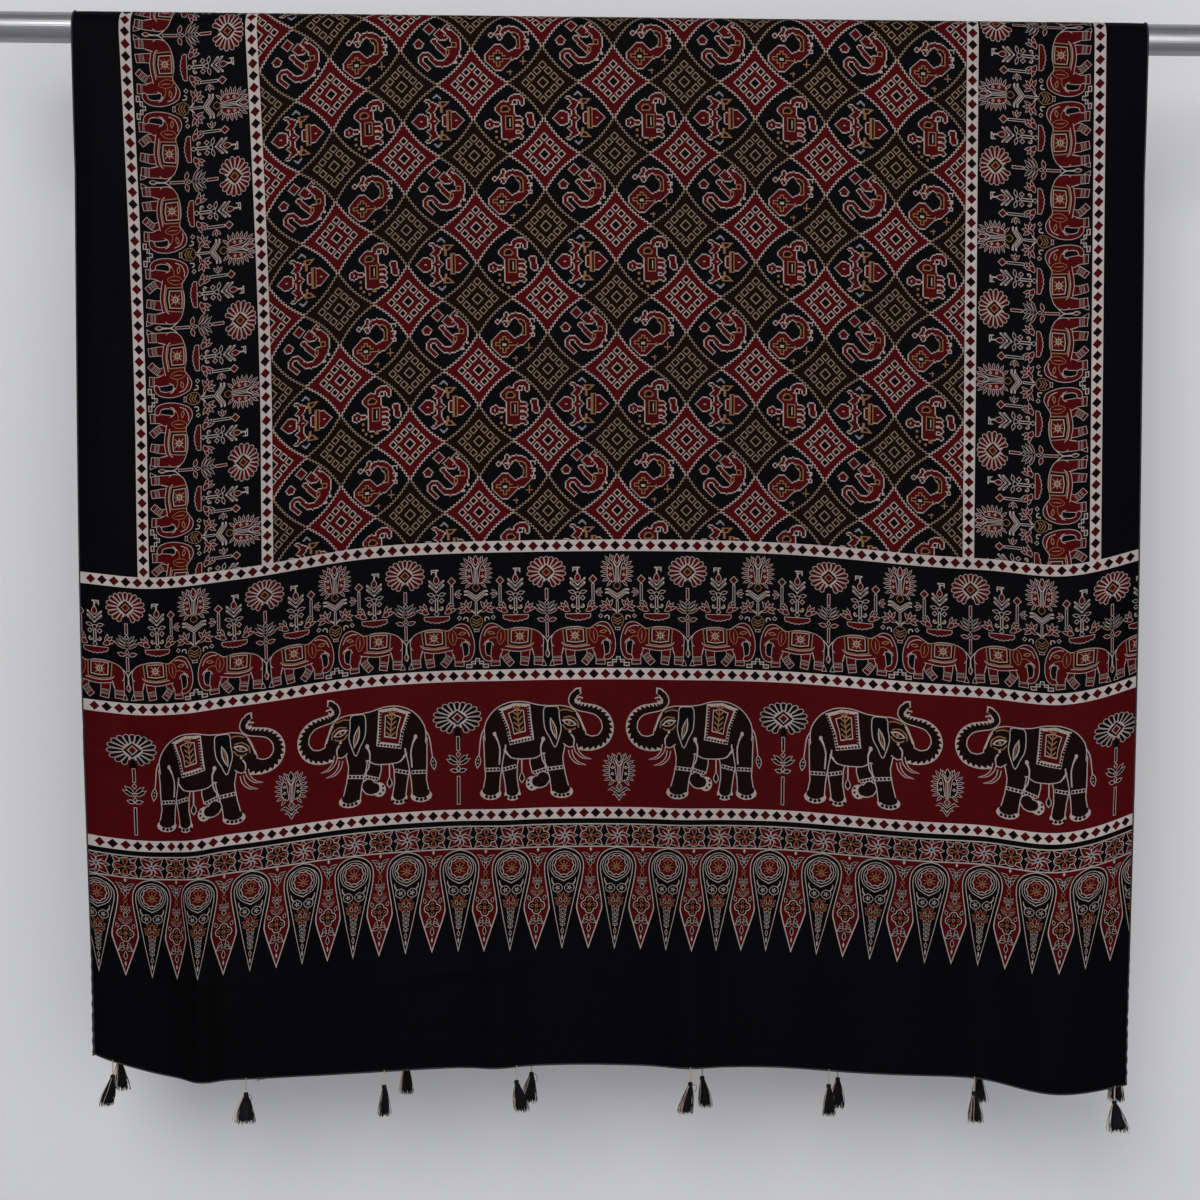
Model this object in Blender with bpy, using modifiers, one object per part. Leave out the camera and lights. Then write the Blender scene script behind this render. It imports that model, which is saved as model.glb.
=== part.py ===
"""Printed silk dupatta with sixteen tassels, folded over a plain round steel rod.

Metres. The origin is the middle of the rod's axis, X runs along the rod, the front fall
hangs on the -Y side and +Z is up. The cloth is one sheet: up from the front hem, over the
rod and down to the back hem. Each hem carries eight tassels, each a solid of its own.
"""
import math

import bmesh
import bpy
import numpy as np

# Rod
ROD_RADIUS = 0.016
ROD_LENGTH = 1.310
ROD_SIDES = 48

# Cloth, as it was woven and cut
CLOTH_WIDTH = 1.120
CLOTH_LENGTH = 2.230
CLOTH_THICKNESS = 0.001
ROD_GAP = 0.0003
FACET_ALLOWANCE = 0.00022  # the flat steps over the rod cut this much inside their circle
FRONT_FALL = 1.114         # from the top of the rod to the middle of the front hem
LEAN = 0.0127              # sideways for each metre down, as it hangs a little askew

# The grid that the sheet is made on
COLUMNS = 76
FRONT_STEPS = 8
ROD_STEPS = 10
BACK_STEPS = 7

# How much longer the front fall is than in the middle; the back is shorter by as much
# (across, extra)
EXTRA_FALL = (
    (-0.560, -0.003),
    (-0.490, 0.017),
    (-0.390, 0.021),
    (-0.240, 0.008),
    (-0.090, 0.001),
    (0.100, -0.002),
    (0.220, 0.000),
    (0.400, 0.008),
    (0.480, 0.020),
    (0.560, 0.012),
)

# Soft folds that run down each fall. A fold stands out (or in, below zero) at the hem,
# slants sideways towards the rod and fades out above the drop where it starts.
# (across, slant, half_width, out, start)
FRONT_FOLDS = (
    (-0.500, 0.010, 0.040, -0.005, 0.10),
    (-0.436, -0.012, 0.021, 0.014, 0.25),
    (-0.350, 0.020, 0.050, -0.006, 0.20),
    (-0.250, 0.040, 0.060, 0.006, 0.30),
    (-0.118, 0.025, 0.024, 0.009, 0.45),
    (-0.030, 0.010, 0.060, -0.005, 0.30),
    (0.088, -0.030, 0.030, 0.011, 0.40),
    (0.190, -0.010, 0.055, -0.006, 0.30),
    (0.300, -0.035, 0.065, 0.006, 0.25),
    (0.400, 0.000, 0.045, -0.008, 0.20),
    (0.478, 0.015, 0.050, 0.007, 0.15),
)
BACK_FOLDS = (
    (-0.460, 0.020, 0.055, 0.010, 0.20),
    (-0.310, -0.030, 0.070, -0.007, 0.25),
    (-0.170, 0.020, 0.045, 0.012, 0.35),
    (-0.020, 0.000, 0.080, -0.006, 0.30),
    (0.160, -0.030, 0.050, 0.011, 0.30),
    (0.310, 0.020, 0.070, -0.007, 0.20),
    (0.450, -0.010, 0.050, 0.010, 0.15),
)

# The side edges turn back towards the other fall: (edge sign, width, depth)
SIDE_ROLLS = ((-1, 0.026, 0.007), (1, 0.052, 0.008))

# Tassels: a thread from the hem, a wound head and a skirt of strands
THREAD_LENGTH = 0.0135
THREAD_RADIUS = 0.0008
HEM_GAP = 0.00045
HEAD_RADIUS = 0.0026
HEAD_HEIGHT = 0.0050
SKIRT_LENGTH = 0.031
SKIRT_HALF_WIDTH = 0.0068
SKIRT_HALF_DEPTH = 0.0042
STRANDS = 10
STRAND_RADIUS = 0.00045
ROOT_RADIUS = 0.0017
STRAND_STEPS = 3

# (across, lean of the skirt, flare of the skirt)
FRONT_TASSELS = (
    (-0.537, -0.22, 1.00),
    (-0.387, -0.02, 1.45),
    (-0.238, 0.00, 0.75),
    (-0.096, 0.18, 1.00),
    (0.090, -0.16, 1.00),
    (0.239, 0.02, 0.85),
    (0.395, 0.08, 0.95),
    (0.545, 0.16, 1.35),
)
BACK_TASSELS = (
    (-0.531, 0.10, 1.00),
    (-0.375, -0.12, 1.20),
    (-0.219, 0.04, 0.90),
    (-0.081, -0.08, 1.10),
    (0.103, 0.12, 0.90),
    (0.250, -0.04, 1.10),
    (0.402, 0.06, 1.00),
    (0.548, 0.10, 1.15),
)

SHEET_RADIUS = ROD_RADIUS + ROD_GAP + FACET_ALLOWANCE + CLOTH_THICKNESS / 2
QUARTER_TURN = SHEET_RADIUS * math.pi / 2   # cloth from the top of the rod to its side


def through(rows, at):
    """Smooth curve through a table's (place, value) rows, read at the places `at`."""
    place, value = np.array(rows).T
    slope = np.gradient(value, place)
    row = np.clip(np.searchsorted(place, at) - 1, 0, len(place) - 2)
    span = place[row + 1] - place[row]
    step = (at - place[row]) / span
    keep = (1 + 2 * step) * (1 - step) ** 2
    turn = step * (1 - step) ** 2
    reach = step ** 2 * (3 - 2 * step)
    settle = step ** 2 * (step - 1)
    start = keep * value[row] + turn * span * slope[row]
    return start + reach * value[row + 1] + settle * span * slope[row + 1]


def fold_depth(across, drop, folds):
    """How far a fall stands out from its plane, at a place across and a drop."""
    depth = np.zeros_like(across)
    for place, slant, half_width, out, start in folds:
        rise = np.clip((drop - start) / (FRONT_FALL - start), 0, 1)
        centre = place + slant * (1 - drop / FRONT_FALL)
        bell = np.exp(-((across - centre) / half_width) ** 2)
        depth += out * rise * rise * (3 - 2 * rise) * bell
    for sign, width, back in SIDE_ROLLS:
        inside = np.clip(1 - (CLOTH_WIDTH / 2 - sign * across) / width, 0, 1)
        depth -= back * inside ** 2 * np.clip(drop / 0.15, 0, 1)
    return depth


def fall_row(across, drop, side, folds):
    """One row of a fall, level across the cloth: side is -1 in front and 1 behind."""
    depth = fold_depth(across, drop, folds)
    run = np.diff(across)
    # what the folds take up in depth is lost across, counted from the middle
    level = np.sqrt(run ** 2 - np.diff(depth) ** 2)
    place = np.concatenate(([0.0], np.cumsum(level)))
    place -= place[len(place) // 2]
    x = place + LEAN * drop
    y = side * (SHEET_RADIUS + depth)
    return np.stack((x, y, -drop), axis=1)


def cloth_rows():
    """Rows of points from the front hem, over the rod, to the back hem."""
    across = np.linspace(-CLOTH_WIDTH / 2, CLOTH_WIDTH / 2, COLUMNS + 1)
    extra = through(EXTRA_FALL, across)
    front = FRONT_FALL + extra - QUARTER_TURN
    back = CLOTH_LENGTH - FRONT_FALL - extra - QUARTER_TURN
    rows = []
    for step in range(FRONT_STEPS):
        rows.append(fall_row(across, front * (1 - step / FRONT_STEPS), -1, FRONT_FOLDS))
    for step in range(ROD_STEPS + 1):
        angle = math.pi * step / ROD_STEPS
        y = np.full_like(across, -SHEET_RADIUS * math.cos(angle))
        z = np.full_like(across, SHEET_RADIUS * math.sin(angle))
        rows.append(np.stack((across, y, z), axis=1))
    for step in range(1, BACK_STEPS + 1):
        rows.append(fall_row(across, back * step / BACK_STEPS, 1, BACK_FOLDS))
    return rows


def make_material(name, colour, roughness, metallic):
    material = bpy.data.materials.new(name)
    material.use_nodes = True
    shader = material.node_tree.nodes["Principled BSDF"]
    shader.inputs["Base Color"].default_value = (*colour, 1)
    shader.inputs["Roughness"].default_value = roughness
    shader.inputs["Metallic"].default_value = metallic
    return material


def add_object(name, data, collection, material=None):
    thing = bpy.data.objects.new(name, data)
    collection.objects.link(thing)
    if material:
        data.materials.append(material)
    return thing


def make_rod(collection, material):
    mesh = bpy.data.meshes.new("rod")
    shape = bmesh.new()
    bmesh.ops.create_cone(shape, cap_ends=True, segments=ROD_SIDES, radius1=ROD_RADIUS,
                          radius2=ROD_RADIUS, depth=ROD_LENGTH)
    shape.to_mesh(mesh)
    shape.free()
    rod = add_object("rod", mesh, collection, material)
    rod.rotation_euler = (0, math.pi / 2, 0)
    mesh.shade_smooth()
    mesh.set_sharp_from_angle(angle=math.radians(40))


def make_cloth(rows, collection, material):
    """A flat grid laid along the rows, with a Solidify modifier for its thickness."""
    mesh = bpy.data.meshes.new("cloth")
    shape = bmesh.new()
    bmesh.ops.create_grid(shape, x_segments=COLUMNS, y_segments=len(rows) - 1, size=1)
    for vertex in shape.verts:
        column = round((vertex.co.x + 1) / 2 * COLUMNS)
        row = round((vertex.co.y + 1) / 2 * (len(rows) - 1))
        vertex.co = rows[row][column]
    shape.to_mesh(mesh)
    shape.free()
    mesh.shade_smooth()
    cloth = add_object("cloth", mesh, collection, material)
    body = cloth.modifiers.new("Thickness", "SOLIDIFY")
    body.thickness = CLOTH_THICKNESS
    body.offset = 0
    body.use_even_offset = True


def hem_point(row, across):
    """The point of a hem's row that lies at a place across the cloth."""
    places = np.linspace(-CLOTH_WIDTH / 2, CLOTH_WIDTH / 2, COLUMNS + 1)
    return [float(np.interp(across, places, row[:, axis])) for axis in range(3)]


def strand_line(spline, points, radii):
    spline.points.add(len(points) - 1)
    for point, place, radius in zip(spline.points, points, radii):
        point.co = (*place, 1)
        point.radius = radius


def make_strands(name, knot, skirt_z, lean, flare, turn, profile, collection):
    """The thread above the head and the skirt's strands below it, as closed tubes."""
    curve = bpy.data.curves.new(name, "CURVE")
    curve.dimensions = "3D"
    curve.bevel_mode = "OBJECT"
    curve.bevel_object = profile
    curve.use_fill_caps = True
    head_z = -THREAD_LENGTH - HEAD_HEIGHT / 2
    strand_line(curve.splines.new("POLY"), ((0, 0, -HEM_GAP), (0, 0, head_z + HEAD_HEIGHT / 4)),
                (THREAD_RADIUS, THREAD_RADIUS))
    for index in range(STRANDS):
        if index == 0:
            ring, reach, angle = 0.0, 0.0, 0.0
        else:
            ring, reach = ROOT_RADIUS, 1.0
            angle = turn + 2 * math.pi * index / (STRANDS - 1)
        length = SKIRT_LENGTH * (1 - 0.06 * math.sin(3 * angle + turn) ** 2)
        points = []
        for step in range(STRAND_STEPS + 1):
            part = step / STRAND_STEPS
            spread = math.sin(part * math.pi / 2) * reach
            x = ring * math.cos(angle) + SKIRT_HALF_WIDTH * flare * spread * math.cos(angle)
            y = ring * math.sin(angle) + SKIRT_HALF_DEPTH * spread * math.sin(angle)
            z = skirt_z - length * part
            points.append((x + lean * length * part, y, z))
        strand_line(curve.splines.new("POLY"), points, [STRAND_RADIUS] * len(points))
    helper = add_object(name, curve, collection)
    helper.location = knot
    bpy.context.view_layer.update()
    graph = bpy.context.evaluated_depsgraph_get()
    mesh = bpy.data.meshes.new_from_object(helper.evaluated_get(graph))
    place = helper.matrix_world.copy()
    bpy.data.objects.remove(helper)
    shape = bmesh.new()
    shape.from_mesh(mesh)
    bmesh.ops.remove_doubles(shape, verts=shape.verts, dist=1e-6)
    bmesh.ops.recalc_face_normals(shape, faces=shape.faces)
    shape.to_mesh(mesh)
    shape.free()
    strands = add_object(name, mesh, collection)
    strands.matrix_world = place
    strands.hide_render = True
    strands.display_type = "WIRE"
    return strands


def make_tassel(name, knot, lean, flare, turn, profile, collection, helpers, material):
    """A wound head that a Boolean union joins with its thread and strands."""
    head_z = -THREAD_LENGTH - HEAD_HEIGHT / 2
    strands = make_strands(name + "_strands", knot, head_z - HEAD_HEIGHT * 0.1, lean, flare,
                           turn, profile, helpers)
    mesh = bpy.data.meshes.new(name)
    shape = bmesh.new()
    bmesh.ops.create_uvsphere(shape, u_segments=7, v_segments=5, radius=1)
    for vertex in shape.verts:
        vertex.co.x *= HEAD_RADIUS
        vertex.co.y *= HEAD_RADIUS
        vertex.co.z = head_z + vertex.co.z * HEAD_HEIGHT / 2
    shape.to_mesh(mesh)
    shape.free()
    head = add_object(name, mesh, collection, material)
    head.location = knot
    join = head.modifiers.new("Strands", "BOOLEAN")
    join.operation = "UNION"
    join.solver = "EXACT"
    join.object = strands


def make_profile(collection):
    """The three-sided section of every strand, one metre in radius."""
    curve = bpy.data.curves.new("strand_profile", "CURVE")
    curve.dimensions = "2D"
    spline = curve.splines.new("POLY")
    spline.points.add(2)
    for index, point in enumerate(spline.points):
        angle = 2 * math.pi * index / 3
        point.co = (math.cos(angle), math.sin(angle), 0, 1)
    spline.use_cyclic_u = True
    profile = add_object("strand_profile", curve, collection)
    profile.hide_render = True
    profile.display_type = "WIRE"
    return profile


def main():
    for thing in list(bpy.data.objects):
        bpy.data.objects.remove(thing)
    scene = bpy.context.scene
    parts = bpy.data.collections.new("dupatta_on_rod")
    helpers = bpy.data.collections.new("helpers")
    scene.collection.children.link(parts)
    scene.collection.children.link(helpers)

    steel = make_material("rod_steel", (0.42, 0.42, 0.43), 0.32, 1.0)
    silk = make_material("printed_silk", (0.030, 0.018, 0.018), 0.55, 0.0)
    thread = make_material("tassel_thread", (0.012, 0.012, 0.015), 0.70, 0.0)

    make_rod(parts, steel)
    rows = cloth_rows()
    make_cloth(rows, parts, silk)
    profile = make_profile(helpers)
    for hem, row, tassels in (("front", rows[0], FRONT_TASSELS), ("back", rows[-1], BACK_TASSELS)):
        for number, (across, lean, flare) in enumerate(tassels, 1):
            make_tassel(f"tassel_{hem}_{number}", hem_point(row, across), lean, flare,
                        0.5 * number, profile, parts, helpers, thread)


main()
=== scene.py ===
import bpy
import math
import numpy as np
from mathutils import Matrix, Vector
from mathutils.geometry import delaunay_2d_cdt


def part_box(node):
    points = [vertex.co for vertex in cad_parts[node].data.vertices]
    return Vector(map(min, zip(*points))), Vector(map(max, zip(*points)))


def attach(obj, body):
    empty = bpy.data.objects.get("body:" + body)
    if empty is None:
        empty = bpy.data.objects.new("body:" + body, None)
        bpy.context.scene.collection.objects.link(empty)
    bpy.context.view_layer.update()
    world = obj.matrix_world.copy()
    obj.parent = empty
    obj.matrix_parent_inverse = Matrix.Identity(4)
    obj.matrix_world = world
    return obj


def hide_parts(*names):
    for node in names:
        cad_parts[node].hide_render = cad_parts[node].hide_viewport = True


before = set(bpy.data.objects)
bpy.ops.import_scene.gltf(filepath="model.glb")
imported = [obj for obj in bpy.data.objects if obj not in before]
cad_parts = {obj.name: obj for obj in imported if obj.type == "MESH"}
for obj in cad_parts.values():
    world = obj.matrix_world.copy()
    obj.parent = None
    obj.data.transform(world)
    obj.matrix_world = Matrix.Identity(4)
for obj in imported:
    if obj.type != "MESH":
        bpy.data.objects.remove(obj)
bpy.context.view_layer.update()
print("scene: frame loaded")


# how the dupatta hangs: the flat cloth is laid over the rod, all in metres
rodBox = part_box("rod")
drape = {
    "width": 1.120, "length": 2.230, "thickness": 0.001,
    "rodRadius": (rodBox[1][2] - rodBox[0][2]) / 2,
    "rodGap": 0.00052,            # between the rod and the cloth's inner face
    "frontFall": 1.114,           # from the top of the rod to the middle of the front hem
    "lean": 0.0127,               # sideways for each metre down
    # how much longer the front fall is than in the middle: (across, extra)
    "extraFall": ((-0.560, -0.003), (-0.490, 0.017), (-0.390, 0.021), (-0.240, 0.008), (-0.090, 0.001),
                  (0.100, -0.002), (0.220, 0.000), (0.400, 0.008), (0.480, 0.020), (0.560, 0.012)),
    # soft folds down each fall: (across, slant, half width, out, drop where it starts)
    "frontFolds": ((-0.500, 0.010, 0.040, -0.005, 0.10), (-0.436, -0.012, 0.021, 0.014, 0.25),
                   (-0.350, 0.020, 0.050, -0.006, 0.20), (-0.250, 0.040, 0.060, 0.006, 0.30),
                   (-0.118, 0.025, 0.024, 0.009, 0.45), (-0.030, 0.010, 0.060, -0.005, 0.30),
                   (0.088, -0.030, 0.030, 0.011, 0.40), (0.190, -0.010, 0.055, -0.006, 0.30),
                   (0.300, -0.035, 0.065, 0.006, 0.25), (0.400, 0.000, 0.045, -0.008, 0.20),
                   (0.478, 0.015, 0.050, 0.007, 0.15)),
    "backFolds": ((-0.460, 0.020, 0.055, 0.010, 0.20), (-0.310, -0.030, 0.070, -0.007, 0.25),
                  (-0.170, 0.020, 0.045, 0.012, 0.35), (-0.020, 0.000, 0.080, -0.006, 0.30),
                  (0.160, -0.030, 0.050, 0.011, 0.30), (0.310, 0.020, 0.070, -0.007, 0.20),
                  (0.450, -0.010, 0.050, 0.010, 0.15)),
    "sideRolls": ((-1, 0.026, 0.007), (1, 0.052, 0.008)),   # (edge, width, depth)
    # small creases, front then back: (across, drop, turn, half length, half width, out)
    "frontCreases": ((-0.515, 0.742, 4, 0.060, 0.0050, -0.0022), (-0.500, 0.768, -3, 0.075, 0.0045, 0.0018),
                     (-0.470, 0.795, 6, 0.050, 0.0060, -0.0016), (-0.437, 0.640, 84, 0.100, 0.0050, 0.0012),
                     (-0.330, 0.905, 12, 0.080, 0.0090, -0.0015), (-0.150, 0.985, -16, 0.070, 0.0080, 0.0014),
                     (0.050, 0.930, 20, 0.090, 0.0080, -0.0014), (0.130, 1.030, 78, 0.060, 0.0070, 0.0016),
                     (0.260, 0.870, -10, 0.090, 0.0090, 0.0013), (0.415, 0.960, 80, 0.080, 0.0060, -0.0018),
                     (0.500, 0.560, 70, 0.090, 0.0050, 0.0014), (0.520, 0.800, -8, 0.045, 0.0045, -0.0016),
                     (0.470, 0.300, 86, 0.120, 0.0060, 0.0010), (-0.520, 0.330, 88, 0.140, 0.0055, 0.0011),
                     (-0.285, 0.480, 82, 0.120, 0.0100, 0.0008), (0.215, 0.520, -84, 0.130, 0.0100, -0.0008)),
    "backCreases": ((-0.500, 0.700, 5, 0.070, 0.0050, -0.0018), (-0.120, 0.880, 14, 0.090, 0.0090, 0.0014),
                    (0.240, 0.960, -12, 0.080, 0.0080, -0.0014), (0.480, 0.620, 75, 0.090, 0.0050, 0.0014)),
    "creaseWave": (0.10, 2.1),                   # how far a crease sways aside, and how often
    "scallop": 0.0011, "scallopPitch": 0.0135,   # the narrow side hems pull in between their stitches,
    "scallopAt": (0.95, 0.08, 0.010),            # from this drop on, growing over this, this near the edge
    "rollFrom": 0.15, "settle": 0.03,            # drops over which the side rolls and the folds set in
    "rows": 47, "columns": 561, "deepest": 1.15,   # the table of how far the folds draw the cloth together
}
sheetRadius = drape["rodRadius"] + drape["rodGap"] + drape["thickness"] / 2
quarterTurn = sheetRadius * math.pi / 2


# smooth curve through (place, value) rows: between two rows, a cubic that keeps each row's slope
def through(rows, at):
    place, value = np.array(rows).T
    slope = np.gradient(value, place)
    row = np.clip(np.searchsorted(place, at) - 1, 0, len(place) - 2)
    span = place[row + 1] - place[row]
    step = np.clip((at - place[row]) / span, 0, 1)
    ends = value[row] * (1 + 2 * step) * (1 - step) ** 2 + value[row + 1] * step ** 2 * (3 - 2 * step)
    return ends + span * step * (1 - step) * (slope[row] * (1 - step) - slope[row + 1] * step)


# depth of a fall: each fold is a bell across times a smooth rise down the drop, less the rolled sides
def foldDepth(across, drop, folds):
    depth = np.zeros_like(across)
    for place, slant, halfWidth, out, start in folds:
        rise = np.clip((drop - start) / (drape["frontFall"] - start), 0, 1)
        centre = place + slant * (1 - drop / drape["frontFall"])
        depth += out * rise * rise * (3 - 2 * rise) * np.exp(-((across - centre) / halfWidth) ** 2)
    for sign, width, back in drape["sideRolls"]:
        inside = np.clip(1 - (drape["width"] / 2 - sign * across) / width, 0, 1)
        depth -= back * inside ** 2 * np.clip(drop / drape["rollFrom"], 0, 1)
    return depth


# a crease is a long narrow bell: its width falls off across the line and its length along it
def creaseDepth(across, drop, creases):
    depth = np.zeros_like(across)
    sway, often = drape["creaseWave"]
    for place, down, turn, halfLength, halfWidth, out in creases:
        cosine, sine = math.cos(math.radians(turn)), math.sin(math.radians(turn))
        along = (across - place) * cosine + (drop - down) * sine
        aside = (drop - down) * cosine - (across - place) * sine
        aside = aside - sway * halfLength * np.sin(along / halfLength * often)
        depth += out * np.exp(-(along / halfLength) ** 2 - (aside / halfWidth) ** 2)
    return depth


# how far the folds draw a level row towards its middle: 1 - sqrt(1 - slope²), added up across
def drawnIn(folds):
    edge, middle = drape["width"] / 2, drape["columns"] // 2
    across = np.linspace(-edge, edge, drape["columns"])
    depth = foldDepth(*np.meshgrid(across, np.linspace(0, drape["deepest"], drape["rows"])), folds)
    slope = np.gradient(depth, across, axis=1)
    loss = np.cumsum(1 - np.sqrt(1 - slope ** 2), axis=1) * (across[1] - across[0])
    return loss - loss[:, middle:middle + 1]


drawnFront, drawnBack = drawnIn(drape["frontFolds"]), drawnIn(drape["backFolds"])


# value of a table at rows and columns that fall between its own
def between(table, row, column):
    row, column = np.clip(row, 0, table.shape[0] - 1.001), np.clip(column, 0, table.shape[1] - 1.001)
    up, left = row.astype(int), column.astype(int)
    row, column = row - up, column - left
    upper = table[up, left] * (1 - column) + table[up, left + 1] * column
    lower = table[up + 1, left] * (1 - column) + table[up + 1, left + 1] * column
    return upper * (1 - row) + lower * row


# place of a point of the flat cloth: up the front fall, round the rod, down the back fall
def hang(across, along):
    front = drape["frontFall"] + through(drape["extraFall"], across) - quarterTurn
    turn = np.clip((along - front) / sheetRadius, 0, math.pi)
    drop = np.where(along < front, front - along, np.maximum(along - front - 2 * quarterTurn, 0))
    ahead = foldDepth(across, drop, drape["frontFolds"]) + creaseDepth(across, drop, drape["frontCreases"])
    behind = foldDepth(across, drop, drape["backFolds"]) + creaseDepth(across, drop, drape["backCreases"])
    depth = np.where(along < front, -ahead, behind) * np.clip(drop / drape["settle"], 0, 1)
    row = drop / drape["deepest"] * (drape["rows"] - 1)
    column = (across / drape["width"] + 0.5) * (drape["columns"] - 1)
    drawn = np.where(along < front, between(drawnFront, row, column), between(drawnBack, row, column))
    start, grow, near = drape["scallopAt"]
    nearEdge = np.clip(1 - (drape["width"] / 2 - np.abs(across)) / near, 0, 1)
    low = np.clip((drop - start) / grow, 0, 1) * nearEdge
    pull = drape["scallop"] * low * (0.5 - 0.5 * np.cos(2 * np.pi * along / drape["scallopPitch"]))
    x = across - drawn + drape["lean"] * drop - np.sign(across) * pull
    return np.stack((x, -sheetRadius * np.cos(turn) + depth, sheetRadius * np.sin(turn) - drop), 1)


# outward direction of the cloth: across tangent times along tangent, from points a little to each side
def facing(across, along, step=0.0004):
    wide = hang(across + step, along) - hang(across - step, along)
    tall = hang(across, along + step) - hang(across, along - step)
    out = np.cross(wide, tall)
    return out / np.linalg.norm(out, axis=1)[:, None]


# a mesh object in the scene's own collection
def addPiece(name, points, faces, material, smooth=True):
    mesh = bpy.data.meshes.new(name)
    mesh.from_pydata(points.tolist() if len(points) < 200 else points, [], faces)
    mesh.polygons.foreach_set("use_smooth", np.full(len(mesh.polygons), smooth))
    mesh.materials.append(material)
    piece = bpy.data.objects.new(name, mesh)
    bpy.context.scene.collection.objects.link(piece)
    return piece


# the print's inks, the first three for filled parts and the rest for lines
inks = {"black": 0, "madder": 1, "brown": 2, "cream": 3, "gold": 4, "grey": 5, "tan": 6, "ivory": 7}


# all outlines are in millimetres
# smooth line through a few knots: each span is a cubic whose slopes are half its neighbours' distance
def line(points, steps=3, closed=False):
    knots = np.array(points, float)
    if closed:
        knots = np.vstack((knots[-1], knots, knots[:2]))
    else:
        knots = np.vstack((2 * knots[0] - knots[1], knots, 2 * knots[-1] - knots[-2]))
    t = np.linspace(0, 1, steps, endpoint=False)[None, :, None]
    a, b, c, d = (knots[i:len(knots) - 3 + i, None, :] for i in range(4))
    curve = 2 * b + (c - a) * t + (2 * a - 5 * b + 4 * c - d) * t ** 2 + (3 * b - a - 3 * c + d) * t ** 3
    curve = (0.5 * curve).reshape(-1, 2)
    return curve if closed else np.vstack((curve, knots[-2]))


# closed smooth outline through its points
def blob(*points, steps=3):
    return line(points, steps, closed=True)


# outline with straight sides
def flat(*points):
    return np.array(points, float)


def oval(x, y, rx, ry=None, sides=12):
    angle = np.linspace(0, 2 * np.pi, sides, endpoint=False)
    return np.stack((x + rx * np.cos(angle), y + (ry or rx) * np.sin(angle)), 1)


# an oval whose radius swells once for each lobe
def lobed(x, y, rx, ry, lobes, depth, steps=4):
    angle = np.linspace(0, 2 * np.pi, lobes * steps, endpoint=False)
    swell = 1 + depth * np.cos(lobes * angle)
    return np.stack((x + rx * swell * np.cos(angle), y + ry * swell * np.sin(angle)), 1)


# pointed leaf from its foot, turned clockwise from straight up: each side is half a sine wave
def petal(x, y, length, width, turn, steps=4, blunt=1.0):
    share = np.linspace(0, 1, steps + 1)
    side = width / 2 * np.sin(np.pi * share ** blunt)
    along = np.concatenate((share, share[-2:0:-1])) * length
    across = np.concatenate((side, -side[-2:0:-1]))
    cosine, sine = math.cos(math.radians(turn)), math.sin(math.radians(turn))
    return np.stack((x + along * sine + across * cosine, y + along * cosine - across * sine), 1)


# strip of changing width along a smooth line
def ribbon(points, widths, steps=3):
    mid = line(points, steps)
    place = np.linspace(0, 1, len(mid))
    half = np.interp(place, np.linspace(0, 1, len(np.atleast_1d(widths))), np.atleast_1d(widths)) / 2
    way = np.gradient(mid, axis=0)
    way /= np.linalg.norm(way, axis=1)[:, None] + 1e-9
    out = np.stack((-way[:, 1], way[:, 0]), 1) * half[:, None]
    return np.vstack((mid + out, (mid - out)[::-1]))


def bar(x0, y0, x1, y1, width):
    return ribbon([(x0, y0), (x1, y1)], [width], 1)


def rect(x0, y0, x1, y1):
    return flat((x0, y0), (x1, y0), (x1, y1), (x0, y1))


# rhombus on its corner
def gem(x, y, rx, ry=None):
    ry = ry or rx
    return flat((x - rx, y), (x, y - ry), (x + rx, y), (x, y + ry))


# the outline moved outwards: each corner along the mean of its two sides' normals, and less at sharp corners
def grown(outline, by):
    after = np.roll(outline, -1, 0)
    area = np.sum(outline[:, 0] * after[:, 1] - after[:, 0] * outline[:, 1])
    side = after - outline
    side /= np.linalg.norm(side, axis=1)[:, None] + 1e-9
    normal = np.stack((side[:, 1], -side[:, 0]), 1) * np.sign(area)
    corner = normal + np.roll(normal, 1, 0)
    corner /= np.maximum(np.sum(corner * corner, 1), 0.8)[:, None] / 2
    return outline + corner * by


lineShare = 0.74     # every drawn edge is this much of its nominal breadth


# a filled shape with an edge drawn round it
def edged(ink, outline, by=0.8, edge="cream"):
    return [(edge, grown(outline, by * lineShare)), (ink, outline)]


def stretched(motif, across, up):
    return [(ink, outline * (across, up)) for ink, outline in motif]


def flipped(motif):
    return stretched(motif, -1, 1)


def both(motif):
    return motif + flipped(motif)


def placed(motif, x, y, size=1.0, turn=0.0):
    cosine, sine = math.cos(math.radians(turn)), math.sin(math.radians(turn))
    spin = np.array(((cosine, sine), (-sine, cosine)))
    return [(ink, (outline * size) @ spin + (x, y)) for ink, outline in motif]


def recoloured(motif, swap):
    return [(swap.get(ink, ink), outline) for ink, outline in motif]


# a small elephant's leg, with stripes across it above the foot
def stripedLeg(points, widths, stripes):
    leg = ribbon(points, widths, 2)
    motif = edged("madder", leg)
    foot = np.array(points[-1], float)
    way = np.array(points[-2], float) - foot
    way /= np.linalg.norm(way)
    side = np.array((-way[1], way[0]))
    half = widths[-1] / 2
    for k in range(stripes):
        at = foot + way * (4.2 + 3.4 * k)
        motif += [("cream", bar(*(at - side * half), *(at + side * half), 1.7)),
                  ("brown", bar(*(at - side * half), *(at + side * half), 0.9))]
    return motif


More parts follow.
